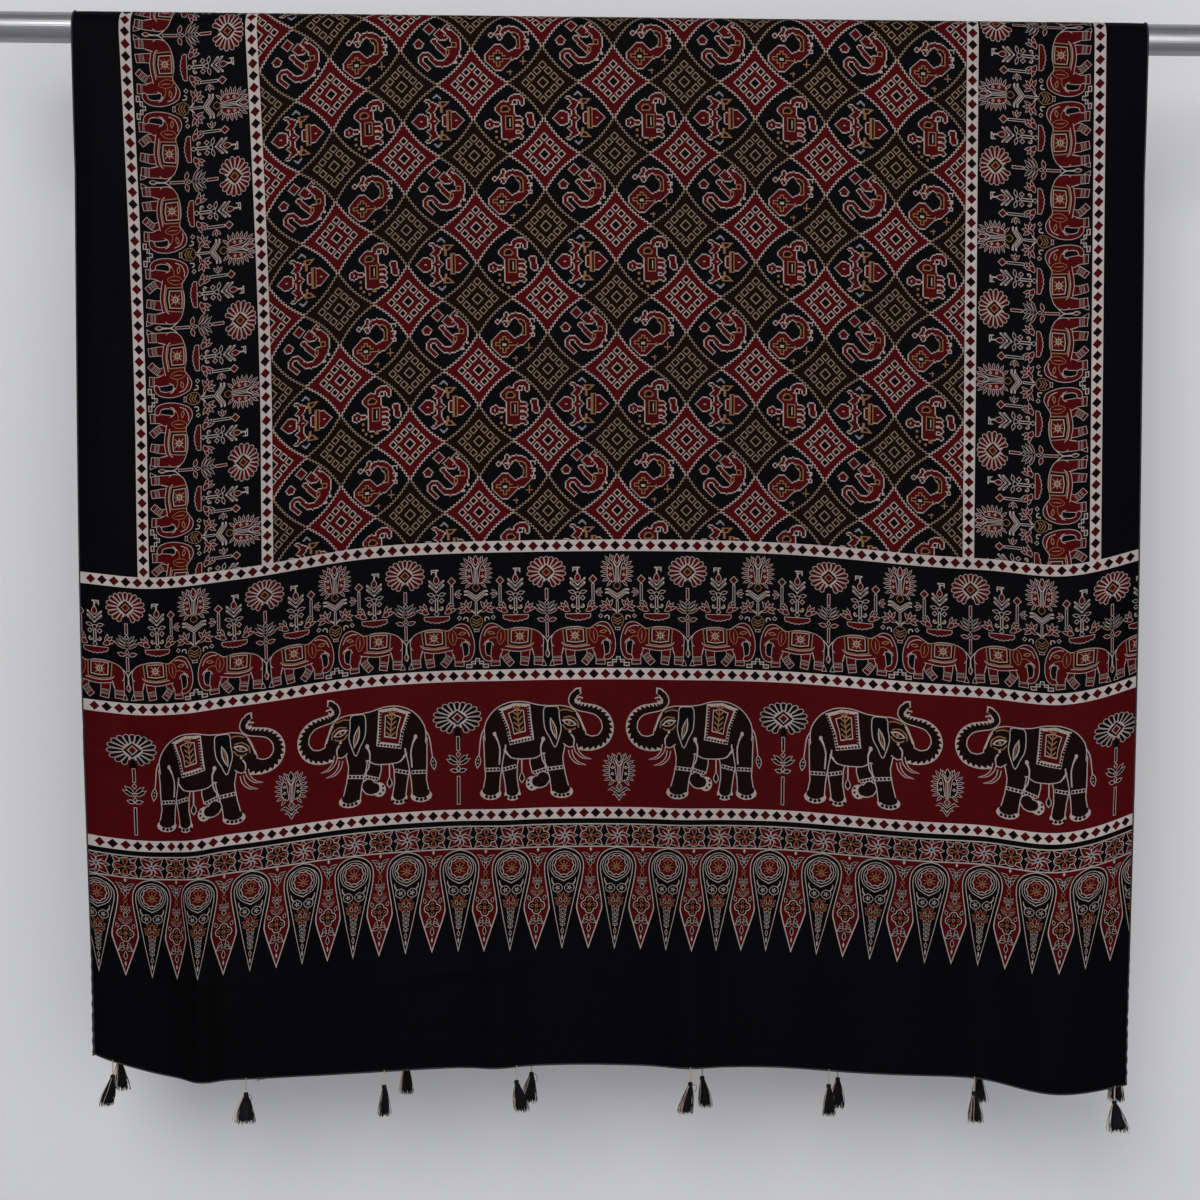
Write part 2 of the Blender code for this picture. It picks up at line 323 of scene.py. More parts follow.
# small elephant, facing right, feet at 0
def smallElephant():
    motif = [("cream", ribbon([(-31, 33), (-36, 27), (-37, 17)], [1.1], 3))]
    motif += edged("madder", petal(-37, 17, 7, 3, 180), 0.7)
    motif += stripedLeg([(-13, 22), (-13, 12), (-11.5, 2)], [10, 8.5, 7.5], 2)
    motif += stripedLeg([(7, 20), (8.5, 12), (1.5, 3)], [8, 7, 6.5], 3)
    motif += stripedLeg([(-25.5, 24), (-27, 12), (-26.5, 2)], [13, 9, 8.5], 2)
    motif += stripedLeg([(15, 24), (18.5, 12), (18.5, 2)], [13, 9, 9], 1)
    body = blob((-31, 22), (-31.5, 31), (-26, 37), (-15, 40.5), (-3, 41), (7, 39), (13, 42.5), (20, 46),
                (27, 44.5), (31, 39), (34, 30), (34.5, 20), (32, 11), (27, 7), (22.5, 8), (24, 11.5),
                (28, 13), (29.5, 19), (28, 26), (22, 27), (18, 21), (8, 18.5), (-6, 16.5), (-20, 18.5))
    motif += edged("madder", body, 0.9)
    motif += [("madder", blob((-29, 24), (-20, 24), (-21, 12), (-29, 12))),
              ("madder", blob((11, 26), (19, 26), (20, 13), (15, 13)))]
    motif += [("cream", ribbon([(-22, 25), (-18, 21.5), (-6, 20), (8, 22)], [0.75], 3)),
              ("cream", ribbon([(-20, 20), (-22, 12)], [0.9], 1))]
    motif += [("gold", flat((-21, 39.6), (-8, 41), (5, 40.2), (5.5, 22.5), (-7, 20.5), (-19.5, 22.5))),
              ("brown", flat((-19.8, 39), (-8, 40.2), (3.8, 39.5), (4.3, 23.6), (-7, 21.8), (-18.4, 23.6))),
              ("cream", flat((-17.2, 38.6), (-8, 39.4), (1.6, 38.9), (2, 25.6), (-7, 24.4), (-16.2, 25.6))),
              ("madder", flat((-16.4, 38), (-8, 38.6), (0.8, 38.2), (1.2, 26.4), (-7, 25.3), (-15.4, 26.4)))]
    for k in range(8):
        motif.append(("gold", petal(-7.6, 32, 7.8 if k % 2 else 6.2, 2.0, 45 * k, 2)))
    motif += [("cream", oval(-7.6, 32, 3.0)), ("brown", oval(-7.6, 32, 2.0, sides=8)),
              ("cream", oval(-7.6, 32, 0.9, sides=6))]
    motif += edged("madder", blob((10, 40), (14.5, 37.5), (16, 31), (13.5, 24.5), (9.5, 28), (8, 34)), 0.8,
                   "gold")
    motif += [("gold", ribbon([(12, 37), (12.2, 31), (12.8, 27)], [0.6, 1.2, 0.5], 2))]
    motif += [("gold", petal(18, 35.5, 9, 4, 80)), ("brown", petal(20, 35.8, 5, 2, 80)),
              ("cream", ribbon([(15, 42), (20, 42.5), (27, 39.5), (30, 33)], [0.8], 2)),
              ("gold", ribbon([(16, 31), (21, 31.5), (27, 29)], [0.7], 2)),
              ("cream", ribbon([(25, 28.5), (29, 26.5), (30.5, 23)], [1.4, 1.0, 0.4], 2))]
    return motif


# the frieze's daisy: blunt petals in a fan that leaves the stalk free, each reaching out to an oval
daisy = {"petals": 17, "fan": 153, "disc": (8.2, 7.4), "reach": (20, 16),
         "share": (0, 0.55, 0.85, 1.0), "half": (0.8, 1.7, 2.0, 0.8), "edge": 0.6}


def daisyHead():
    motif = [("cream", oval(0, 0, 12.4, 10.4, 30))]
    share, half = np.array(daisy["share"]), np.array(daisy["half"])
    for k in range(daisy["petals"]):
        angle = math.radians(-daisy["fan"] + 2 * daisy["fan"] * k / (daisy["petals"] - 1))
        sine, cosine = math.sin(angle), math.cos(angle)
        foot = (daisy["disc"][0] * sine, daisy["disc"][1] * cosine)
        reach = math.hypot(daisy["reach"][0] * sine, daisy["reach"][1] * cosine) - math.hypot(*foot)
        along = np.concatenate((share, share[::-1])) * reach
        across = np.concatenate((half, -half[::-1]))
        x, y = foot[0] + along * sine + across * cosine, foot[1] + along * cosine - across * sine
        spot = np.stack((x, y), 1)
        motif += [("cream", grown(spot, daisy["edge"])), ("madder", spot)]
    motif += [("black", flat((-1.5, -8), (1.5, -8), (3.4, -20), (-3.4, -20))),
              ("cream", gem(0, 0, 9.2, 9)), ("brown", gem(0, 0, 8, 7.8)), ("gold", gem(0, 0, 5, 4.8)),
              ("madder", gem(0, 0, 3.6, 3.4))]
    return motif


def daisyTree():
    motif = placed(daisyHead(), 0, 101.5)
    motif += edged("madder", rect(-1.1, 73, 1.1, 84)) + edged("black", gem(0, 69.5, 1.9), 0.8)
    leaves = []
    for y, reach, turn in ((57.5, 13.5, 62), (60.5, 12.5, 54), (63.5, 11, 44)):
        leaves += edged("madder" if y < 60 else "black", petal(0.6, y, reach, 2.4, turn, 3), 0.7)
    leaves += edged("madder", petal(2, 50.5, 8, 4, 75, 3), 0.7)
    motif += both(leaves)
    motif += edged("madder", gem(0, 54, 1.6, 2.4), 0.7) + edged("madder", rect(-0.9, 34, 0.9, 48.5), 0.8)
    motif += both(edged("black", flat((2.2, 3.5), (6.4, 3.5), (4.3, 9)), 0.8))
    return motif


def palmetteHead(fill="madder"):
    wing = edged(fill, blob((3.2, -11), (6.4, -11.4), (9.4, -7.6), (10.2, -1), (9.2, 4.4), (7.4, 7.2),
                            (5.2, 5), (4.2, -2)), 0.9)
    for x, y, turn in ((5.4, 9.6, 14), (8.2, 8.8, 34), (9.4, 5.6, 60), (9.9, 2.0, 78), (10.0, -1.6, 88),
                       (9.6, -5.2, 98), (8.6, -8.8, 112), (6.0, -11.2, 140)):
        wing += edged(fill, petal(x, y, 7.0, 1.9, turn, 3, 0.75), 0.8)
    wing += [("cream", gem(7, -4.6, 1.9)), ("gold", gem(7, -4.6, 1.2)), ("cream", gem(7, 1.8, 1.9)),
             ("gold", gem(7, 1.8, 1.2))]
    motif = both(wing)
    motif += [("cream", flat((-1.9, -14), (1.9, -14), (1.9, 3.2), (4.6, 9), (3.4, 9.4), (0.5, 4.2),
                             (-0.5, 4.2), (-3.4, 9.4), (-4.6, 9), (-1.9, 3.2))),
              ("black", rect(-1.2, -13.3, -0.4, 3.4)), ("black", rect(0.4, -13.3, 1.2, 3.4))]
    motif += edged(fill, blob((0, 7.4), (2.2, 10.8), (1.7, 14), (0, 16.6), (-1.7, 14), (-2.2, 10.8), steps=2),
                   0.85)
    motif += both(edged(fill, petal(2.4, 9.6, 6.2, 1.7, 26, 3), 0.8))
    return motif


def palmettePlant():
    motif = placed(palmetteHead(), 0, 103)
    motif += edged("brown", blob((0, 83), (3.4, 86.5), (0, 90.5), (-3.4, 86.5), steps=2), 0.9, "gold")
    for y, ink in ((80.5, "madder"), (77, "black")):
        motif += [("cream", flat((0, y - 5.6), (9, y + 1.2), (13, y + 1.6), (12, y + 3.4), (8, y + 3.2),
                                 (0, y - 2.4), (-8, y + 3.2), (-12, y + 3.4), (-13, y + 1.6), (-9, y + 1.2)))]
        motif += [(ink, flat((0, y - 4.6), (8.8, y + 2), (11, y + 2.4), (8, y + 2.4), (0, y - 3.4),
                             (-8, y + 2.4), (-11, y + 2.4), (-8.8, y + 2)))]
    motif += both(edged("cream", ribbon([(0.8, 59), (4, 62), (6.5, 62.5)], [1.2], 2), 0.2))
    flower = []
    for turn in (-35, 5, 45, 85, 120):
        flower += edged("madder", petal(10, 64.5, 8.6, 3.4, turn, 3, 0.75), 0.75)
    flower += edged("madder", ribbon([(5, 62), (8, 62.5), (11, 66)], [1.2, 2.4, 3]), 0.6)
    flower += edged("black", gem(17.8, 55, 1.7), 0.8)
    flower += [("cream", ribbon([(9, 51), (9.3, 55), (12.5, 55.2), (13.4, 53)], [1.1], 2))]
    motif += both(flower)
    motif += [("cream", rect(-1.3, 57, 1.3, 71)), ("black", rect(-0.6, 57.5, 0.6, 70.5))]
    pot = blob((-3, 56.5), (3, 56.5), (6.2, 52), (5, 47), (2.6, 43.5), (-2.6, 43.5), (-5, 47), (-6.2, 52),
               steps=2)
    motif += edged("black", pot, 0.9, "gold")
    for y in (52.6, 49.8, 47):
        motif += [("gold", flat((-4.6, y + 1.2), (0, y - 1.6), (4.6, y + 1.2), (4.6, y + 2), (0, y - 0.6),
                                (-4.6, y + 2)))]
    motif += edged("madder", rect(-2.2, 40.6, 2.2, 42.6), 0.7)
    steps = [("cream", rect(-2.4, 9, 2.4, 12.4)), ("cream", rect(-6.8, 6, -1.8, 9.4)),
             ("cream", rect(1.8, 6, 6.8, 9.4)), ("cream", rect(-12, 2.2, -5.6, 6.4)),
             ("cream", rect(5.6, 2.2, 12, 6.4)), ("black", rect(-1.4, 9.4, 1.4, 11.4)),
             ("black", rect(-5.8, 7, -2.8, 8.4)), ("black", rect(2.8, 7, 5.8, 8.4)),
             ("madder", rect(-11, 3.2, -6.6, 5.4)), ("madder", rect(6.6, 3.2, 11, 5.4))]
    return motif + steps


def dishPlant():
    teeth = [(13 - 26 * k / 12, 51.4 + (0.0 if k % 2 else 1.0) - 3.0 * math.sin(math.pi * k / 12))
             for k in range(13)]
    dish = flat((-13, 55), (13, 55), *teeth)
    motif = edged("madder", dish, 0.8)
    motif += edged("black", gem(0, 58, 2, 2.2), 0.8)
    motif += [("cream", rect(-1.7, 60.5, 1.7, 73)), ("black", rect(-0.8, 61.2, 0.8, 72.4))]
    side = []
    for turn in (10, 42, 74):
        side += edged("madder", petal(11.6, 60, 9, 3.6, turn, 3, 0.8), 0.75)
    side += edged("madder", blob((8.6, 58.5), (13.5, 58), (15, 61.5), (12, 63), steps=2), 0.7)
    side += [("cream", ribbon([(2.4, 63), (4.6, 61.8), (6.6, 63.4), (5.6, 65.8)], [1.1], 3)),
             ("gold", oval(4.7, 64.4, 1.1, sides=6))]
    side += edged("madder", gem(5.2, 72, 2.1), 0.8) + edged("black", petal(2.6, 77.6, 6.6, 3, 76, 3), 0.8)
    for y in (81.8, 86.2):
        side += [("cream", flat((0, y), (0, y - 1.7), (8.2, y + 5.6), (8.2, y + 7.6), (6.6, y + 7.2)))]
        side += [("madder", flat((1.4, y + 0.7), (1.6, y - 0.1), (7, y + 5.4), (6.8, y + 6.2)))]
    motif += both(side)
    motif += edged("black", oval(0, 76, 2, sides=10), 0.8)
    motif += edged("madder", blob((0, 89.5), (2.6, 92.5), (1.6, 96), (0, 97.5), (-1.6, 96), (-2.6, 92.5),
                                  steps=2), 0.8)
    motif += [("cream", flat((-0.6, 97), (1, 97), (1, 101.6), (4.4, 101.6), (4.4, 99.6), (5.4, 99.6),
                             (5.4, 104.6), (-2.4, 104.6), (-2.4, 103), (-0.6, 103))),
              ("black", flat((0.6, 102.6), (4.2, 102.6), (4.2, 103.6), (0.6, 103.6)))]
    return motif


def keyPole():
    motif = edged("madder", gem(0, 92.6, 3.6, 3.8), 0.9) + edged("black", rect(-0.8, 70, 0.8, 87.4), 0.9)
    for turn in (50, 90, 130):
        motif += edged("madder", petal(-3.4, 79, 6.4, 2.2, -turn, 3), 0.65)
    return motif


# one repeat: palmette in the middle, half a daisy tree's pitch to each side
def friezeUnit():
    half = (placed(flipped(smallElephant()), 37.6, 2.5) + placed(dishPlant(), 41.5, 2) +
            placed(keyPole(), 25.4, 1))
    return half + flipped(half) + palmettePlant() + placed(daisyTree(), 74.2, 0)


# a large elephant's leg, with toes below and a dotted anklet (x, y, width, slope)
def toedLeg(points, widths, footX, footY, anklet, toes):
    leg = ribbon(points, widths, 3)
    motif = [("cream", oval(footX, footY, widths[-1] * 0.68, 7.4, 14)), ("cream", grown(leg, 1.05)),
             ("brown", leg), ("brown", oval(footX - 0.2, footY + 3.2, widths[-1] * 0.52, 5.8, 12))]
    for k in range(toes):
        aside = k - (toes - 1) / 2
        motif.append(("black", oval(footX + aside * 4.4, footY - 4.6 + abs(aside) * 0.9, 1.9, sides=7)))
    x, y, width, slope = anklet
    motif.append(("cream", bar(x - width / 2, y - slope, x + width / 2, y + slope, 4.2)))
    for share in (-0.375, -0.125, 0.125, 0.375):
        motif.append(("black", oval(x + width * share, y + 2 * slope * share, 1.6, sides=7)))
    return motif


# the large elephant, facing right, feet at 0: tail, legs, body with its trunk, then the trappings
def largeElephant():
    motif = [("cream", ribbon([(-54, 86), (-60, 74), (-63, 50)], [1.4, 1.2, 1.0], 4))]
    motif += edged("black", petal(-63, 52, 13, 5, 187), 1.1)
    motif += [("cream", oval(-63.4, 47.5, 0.9, sides=5)), ("cream", oval(-63.9, 43.8, 0.8, sides=5))]
    motif += [("cream", ribbon([(-17, 48), (-17, 31)], [1.3], 1))]
    motif += edged("black", petal(-17, 33, 11, 4.6, 180, 4, 1.5), 1.3)
    motif += toedLeg([(-29, 62), (-30, 42), (-29, 26), (-27, 12)], [22, 15.5, 12.5, 13], -27, 9,
                     (-30.5, 38, 14.5, 1.8), 4)
    thigh = ribbon([(6, 56), (0, 46), (1, 33)], [16, 16, 13], 3)
    motif += [("cream", grown(thigh, 1.05)), ("brown", thigh),
              ("cream", grown(ribbon([(9, 31), (4, 23), (-3, 21)], [12, 14, 12], 3), 1.05)),
              ("cream", oval(-6, 20, 7, 8.2, 12)),
              ("brown", ribbon([(9, 31), (4, 23), (-1, 21.5)], [12, 14, 12], 3)),
              ("brown", oval(-1, 22, 5.4, 6, 10)), ("cream", bar(-4.6, 31.5, 8, 35.5, 4.2))]
    for x, y in ((-3, 32), (0.2, 33), (3.4, 34), (6.6, 35), (-10, 23.6), (-10, 19), (-6.8, 15.4)):
        motif.append(("black", oval(x, y, 1.45, sides=7)))
    motif += toedLeg([(-45, 72), (-47, 48), (-48, 28), (-50, 12)], [24, 19, 15, 17], -50.5, 10.2,
                     (-48, 36.6, 15, 0.2), 3)
    motif += toedLeg([(18, 74), (17, 48), (21, 28), (24, 12)], [26, 18.5, 16, 18], 25.5, 10.2,
                     (19, 36.6, 16.5, 1.0), 4)
    trunk = [(36, 74), (46, 66.5), (58, 64), (69, 68), (75, 79), (73, 91), (65, 99.5), (54, 103), (44.5, 105),
             (38.5, 110.5), (40.5, 118), (46.5, 121)]
    wide = [20, 18, 14.5, 12.5, 11, 10, 9, 8.4, 8, 7.4, 6.4, 3.5]
    body = blob((-55, 68), (-55.5, 84), (-50, 96), (-41, 105), (-28, 110.5), (-13, 110.5), (0, 107),
                (12, 105.5), (26, 105.5), (37, 102.5), (44, 95), (47.5, 86), (51, 76), (49, 66), (40, 63),
                (34, 60), (26, 64.5), (24, 54), (12, 52), (6, 54), (-2, 49), (-16, 48), (-28, 50), (-34, 58),
                (-42, 60), (-50, 60))
    motif += [("cream", grown(ribbon(trunk, wide, 4), 1.05)),
              ("cream", grown(petal(40, 117, 10.4, 6.4, 40), 1.0)), ("cream", grown(body, 1.05)),
              ("brown", body), ("brown", ribbon(trunk, wide, 4)), ("brown", petal(40, 117, 9.6, 5.6, 40)),
              ("brown", blob((-55, 72), (-38, 72), (-38, 46), (-54, 46))),
              ("brown", blob((8, 70), (26, 70), (24, 48), (10, 48)))]
    # saw teeth along the outer edge of the trunk
    mid = line(trunk, 5)[4:46]
    way = np.gradient(mid, axis=0)
    way /= np.linalg.norm(way, axis=1)[:, None]
    out = np.stack((way[:, 1], -way[:, 0]), 1)
    half = np.interp(np.linspace(0, 1, 56)[4:46], np.linspace(0, 1, 12), wide)[:, None] / 2
    rim = mid + out * (half + 0.6)
    tip = mid + out * (half - 3.4) + way * 1.4
    for k in range(2, len(mid) - 2, 2):
        motif.append(("cream", np.array((rim[k - 1], rim[k + 1], tip[k]))))
    # saddle blanket: dotted border, red band, panel with a wheat ear
    rug = np.array(((-41, 103.5), (-24, 109.8), (-7, 108.5), (-5.5, 88), (-3.5, 68.5), (-29.5, 63.5),
                    (-33, 82)))
    centre = np.array((-20.5, 92.0))
    for ink, size in (("cream", 1.0), ("madder", 0.76), ("cream", 0.50), ("brown", 0.44)):
        motif.append((ink, centre + (rug - centre) * (size, 1 - (1 - size) * 0.8)))
    for a, b, count in (((-39.2, 101), (-31.2, 80.5), 8), ((-31.2, 79), (-28.4, 66), 5),
                        ((-26, 66), (-6, 70), 7), ((-6.8, 73), (-9.2, 105), 11)):
        for k in range(count):
            spot = np.array(a) + (np.array(b) - a) * k / (count - 1)
            motif.append(("black", oval(*spot, 1.4, sides=7)))
    motif.append(("gold", ribbon([(-21.5, 108), (-18.6, 76.5)], [1.1], 1)))
    for k in range(5):
        x, y = -18.9 - 0.55 * k, 78 + 6 * k
        motif += [("gold", bar(x, y, x + 4.6, y + 5.2, 1.3)), ("gold", bar(x, y, x - 5.2, y + 4.6, 1.3))]
    # ear, brow, eye, jaw and tusks
    motif += edged("black", blob((8.5, 103.5), (15, 105), (22.5, 103.5), (23.5, 92), (25, 80), (22, 68),
                                 (18.5, 60.5), (14, 70), (9, 80), (7.5, 92)), 1.3)
    motif += [("cream", petal(20.5, 68, 26, 6.6, -14)), ("brown", petal(20, 70.5, 21, 3.6, -14)),
              ("gold", ribbon([(19.6, 71), (15.6, 90)], [0.9], 1))]
    motif += [("gold", ribbon([(23, 100), (31, 101.5), (39, 99)], [1.2], 3)),
              ("madder", ribbon([(25, 102.6), (31, 103.4), (37, 101.6)], [0.6, 2.6, 0.6], 3)),
              ("gold", ribbon([(28, 92.5), (36, 93.5), (43, 88), (44, 81)], [1.4], 4)),
              ("cream", ribbon([(42, 97), (46.5, 88), (50, 78)], [1.1], 4)),
              ("cream", petal(26.5, 90, 17, 7.4, 110)), ("black", petal(29, 88.6, 12, 4.6, 110)),
              ("gold", oval(34.4, 86.8, 1.9, sides=8)),
              ("gold", ribbon([(27, 85), (31, 80), (37, 79), (41, 81)], [1.3], 4)),
              ("cream", ribbon([(36, 74), (39, 69), (38.5, 61)], [1.8, 1.5, 1.2], 4)),
              ("cream", petal(35.4, 75, 4, 3, -20))]
    motif += [("cream", ribbon([(-45, 75), (-42, 68), (-40, 58), (-41, 42)], [2.4, 1.5, 1.4, 1.4], 4)),
              ("cream", oval(-45.4, 76, 1.9, 2.6, 8)),
              ("cream", ribbon([(6, 68), (3.5, 60), (5, 46), (10, 38)], [2.4, 1.5, 1.4, 1.4], 4)),
              ("cream", oval(6.2, 69, 2.1, 2.8, 8)),
              ("cream", ribbon([(-34, 64), (-34, 56), (-28, 49)], [1.5], 4))]
    for shift, drop in ((0, 0), (-5.4, -6.4)):
        path = [(40 + shift, 63 + drop), (42 + shift, 55 + drop), (48 + shift, 48.5 + drop),
                (57 + shift, 46 + drop)]
        motif += [("cream", ribbon(path, [4.6, 4.4, 3.4, 0.6], 4)),
                  ("madder", ribbon(path, [2.8, 2.5, 1.5, 0.1], 4))]
    # curl inside the trunk's tip
    motif += [("cream", ribbon([(46.5, 112), (44.6, 108.6), (41.4, 110), (42, 113.6), (45.6, 115.2),
                                (49.5, 114)], [1.4], 3)), ("madder", petal(45, 117.5, 6.5, 2.2, 80))]
    return motif


# the frieze's daisy tree again, larger and with a long stem down to the band
def redTree():
    head = stretched(recoloured(daisyHead(), {"madder": "black"}), 1.14, 0.93)
    motif = placed(head, 0, 95, 1.1)
    motif += [("cream", gem(0, 95, 5.4)), ("madder", gem(0, 95, 4.2))]
    motif += edged("black", rect(-1.2, 61, 1.2, 75), 0.9) + edged("madder", gem(0, 56.5, 1.9, 2.4), 0.9)
    leaves = []
    for y, reach, turn in ((45.5, 13, 62), (48.5, 11.5, 52), (38.5, 7.5, 76)):
        leaves += edged("black", petal(0.6, y, reach, 3.6, turn, 3), 0.9)
    motif += both(leaves)
    motif += edged("madder", gem(0, 41.6, 1.7, 2.4), 0.8) + edged("black", rect(-1.1, 4, 1.1, 33), 0.9)
    return motif


# the three motifs of the red band: tree, palmette and large elephant
def redBand():
    low = placed(palmetteHead("black"), 0, 40, 1.02)
    low += edged("madder", gem(0, 21.6, 2.8, 3.4), 0.9) + edged("black", gem(0, 21.6, 1.2), 0.2)
    for y, wide in ((16.5, 1.0), (11.5, 0.55)):
        low += edged("black", flat((0, y - 4), (7.6, y + 2), (12, y + 1.6), (7.2, y + 4.2), (0, y - 1.2),
                                   (-7.2, y + 4.2), (-12, y + 1.6), (-7.6, y + 2)) * (wide, 1), 0.85)
    return redTree(), low, stretched(largeElephant(), 0.99, 0.95)


def starRosette():
    motif = []
    for k in range(8):
        long, wide = (13.6, 7.4) if k % 2 else (10.6, 6.0)
        motif += edged("madder", petal(0, 0, long, wide, 45 * k, 4, 0.72), 0.75)
    for k in range(8):
        motif.append(("cream", petal(0, 0, 8.4, 1.2, 45 * k, 2, 0.8)))
    motif += [("grey", lobed(0, 0, 2.9, 2.9, 8, 0.14, 2)), ("black", oval(0, 0, 1.2, sides=6))]
    return motif


def loopRosette():
    motif, axes = [], [(math.sin(math.pi / 2 * k), math.cos(math.pi / 2 * k)) for k in range(4)]
    for k in range(4):
        motif += edged("madder", petal(0, 0, 14.0, 6.6, 90 * k + 45, 3, 0.62), 0.8)
    motif += [("cream", oval(5.0 * x, 5.0 * y, 5.1, sides=10)) for x, y in axes]
    motif += [("black", oval(5.0 * x, 5.0 * y, 4.4, sides=10)) for x, y in axes]
    motif.append(("black", oval(0, 0, 4.2, sides=8)))
    for k in range(4):
        motif += [("gold", petal(0, 0, 9.2, 5.2, 90 * k, 4, 1.6)),
                  ("madder", petal(0.9 * axes[k][0], 0.9 * axes[k][1], 7.4, 3.7, 90 * k, 4, 1.6))]
    return motif + [("gold", oval(0, 0, 1.1, sides=6))]


# a shape given by its right side, closed by the same side mirrored
def mirroredSide(points, steps=4):
    right = line(points, steps)
    left = (right * (-1, 1))[::-1]
    return np.vstack((right, left[left[:, 0] < -1e-6]))


# round head about (0, y) that runs down to a point at the foot
def dropShape(y, radius, foot, sides=9):
    reach = math.acos(radius / (y - foot))
    angle = np.linspace(-math.pi / 2 + reach, 1.5 * math.pi - reach, 2 * sides + 1)
    return np.vstack((np.stack((radius * np.cos(angle), y + radius * np.sin(angle)), 1), ((0, foot),)))


def teardrop():
    head = [(0, 108.8), (9.6, 106.4), (17.4, 100.2), (21.0, 90), (20.0, 76), (16.6, 58), (14.9, 47)]
    inner = [(0, 107.9), (9.3, 105.5), (16.7, 99.6), (20.1, 90), (19.1, 76), (15.7, 58), (14.0, 47),
             (12.9, 38)]
    motif = [("cream", mirroredSide(head)), ("black", mirroredSide(inner))]
    body = [(0, 104.2), (8.0, 102.2), (14.6, 97.4), (17.7, 89.6), (16.6, 78), (12.4, 58), (5.6, 24), (0, 0)]
    motif += [("cream", mirroredSide(body)),
              ("black", mirroredSide([(0, 103.4), (7.7, 101.5), (14.0, 96.9), (16.9, 89.5), (15.8, 78),
                                      (11.6, 58), (4.9, 24), (0, 3.6)]))]
    for radius, foot, ink in ((15.2, 72.2, "cream"), (14.55, 73.4, "black"), (12.8, 75.9, "cream"),
                              (12.15, 77.0, "black")):
        motif.append((ink, dropShape(89.3, radius, foot)))
    motif += [("cream", lobed(0, 89.4, 10.4, 10.6, 10, 0.07, 4)),
              ("madder", lobed(0, 89.4, 9.5, 9.7, 10, 0.07, 4))]
    motif += [("gold", petal(0, 88, 7.4, 1.0, -120 + 40 * k, 3)) for k in range(7)]
    motif += [("black", oval(4.6 * math.sin(a), 88 + 4.6 * math.cos(a), 1.2, sides=5))
              for a in np.radians(-100 + 40 * np.arange(6))]
    motif += [("gold", oval(0, 85.6, 2.2, sides=8)), ("madder", oval(0, 85.6, 1.5, sides=6)),
              ("gold", ribbon([(-5.4, 94), (0, 97), (5.4, 94)], [0.8], 3))]
    wing = edged("black", blob((1.4, 66), (5.6, 69.8), (10.6, 67.6), (10.2, 63), (6.4, 61), (2.6, 62.6),
                               steps=2), 0.8)
    wing += [("cream", petal(6.2, 65.4, 3.2, 1.1, turn, 2)) for turn in (20, 92, 164, 236, 308)]
    wing += [("cream", ribbon([(10, 69), (12.2, 72.4), (12.6, 76)], [1.3, 1.1, 0.6], 2))]
    for x, y, turn, long, ink in ((2.0, 55, 38, 6.5, "madder"), (3.0, 51.5, 60, 6.2, "madder"),
                                  (1.6, 50, 24, 5, "black"), (5.2, 47.4, 26, 4.2, "madder"),
                                  (1.4, 46, 54, 5.0, "madder"), (1.0, 42.4, 40, 4.2, "black")):
        wing += edged(ink, petal(x, y, long, 2.4, turn, 3), 0.5, "gold" if ink == "madder" else "cream")
    for k in range(4):
        wing += edged("black", petal(0.4, 37.5 - 4.2 * k, 5.6 - 0.8 * k, 1.5, 34, 3), 0.55)
    motif += both(wing)
    motif += edged("madder", petal(0, 51, 9, 3.6, 0, 3), 0.7, "gold")
    motif += edged("madder", petal(0, 43, 5, 2.6, 0, 3), 0.6, "gold")
    return (motif + edged("madder", petal(0, 22.4, 5.4, 2.4, 180, 3), 0.6) +
            [("cream", petal(0, 15.6, 6.4, 1.8, 180, 3))])


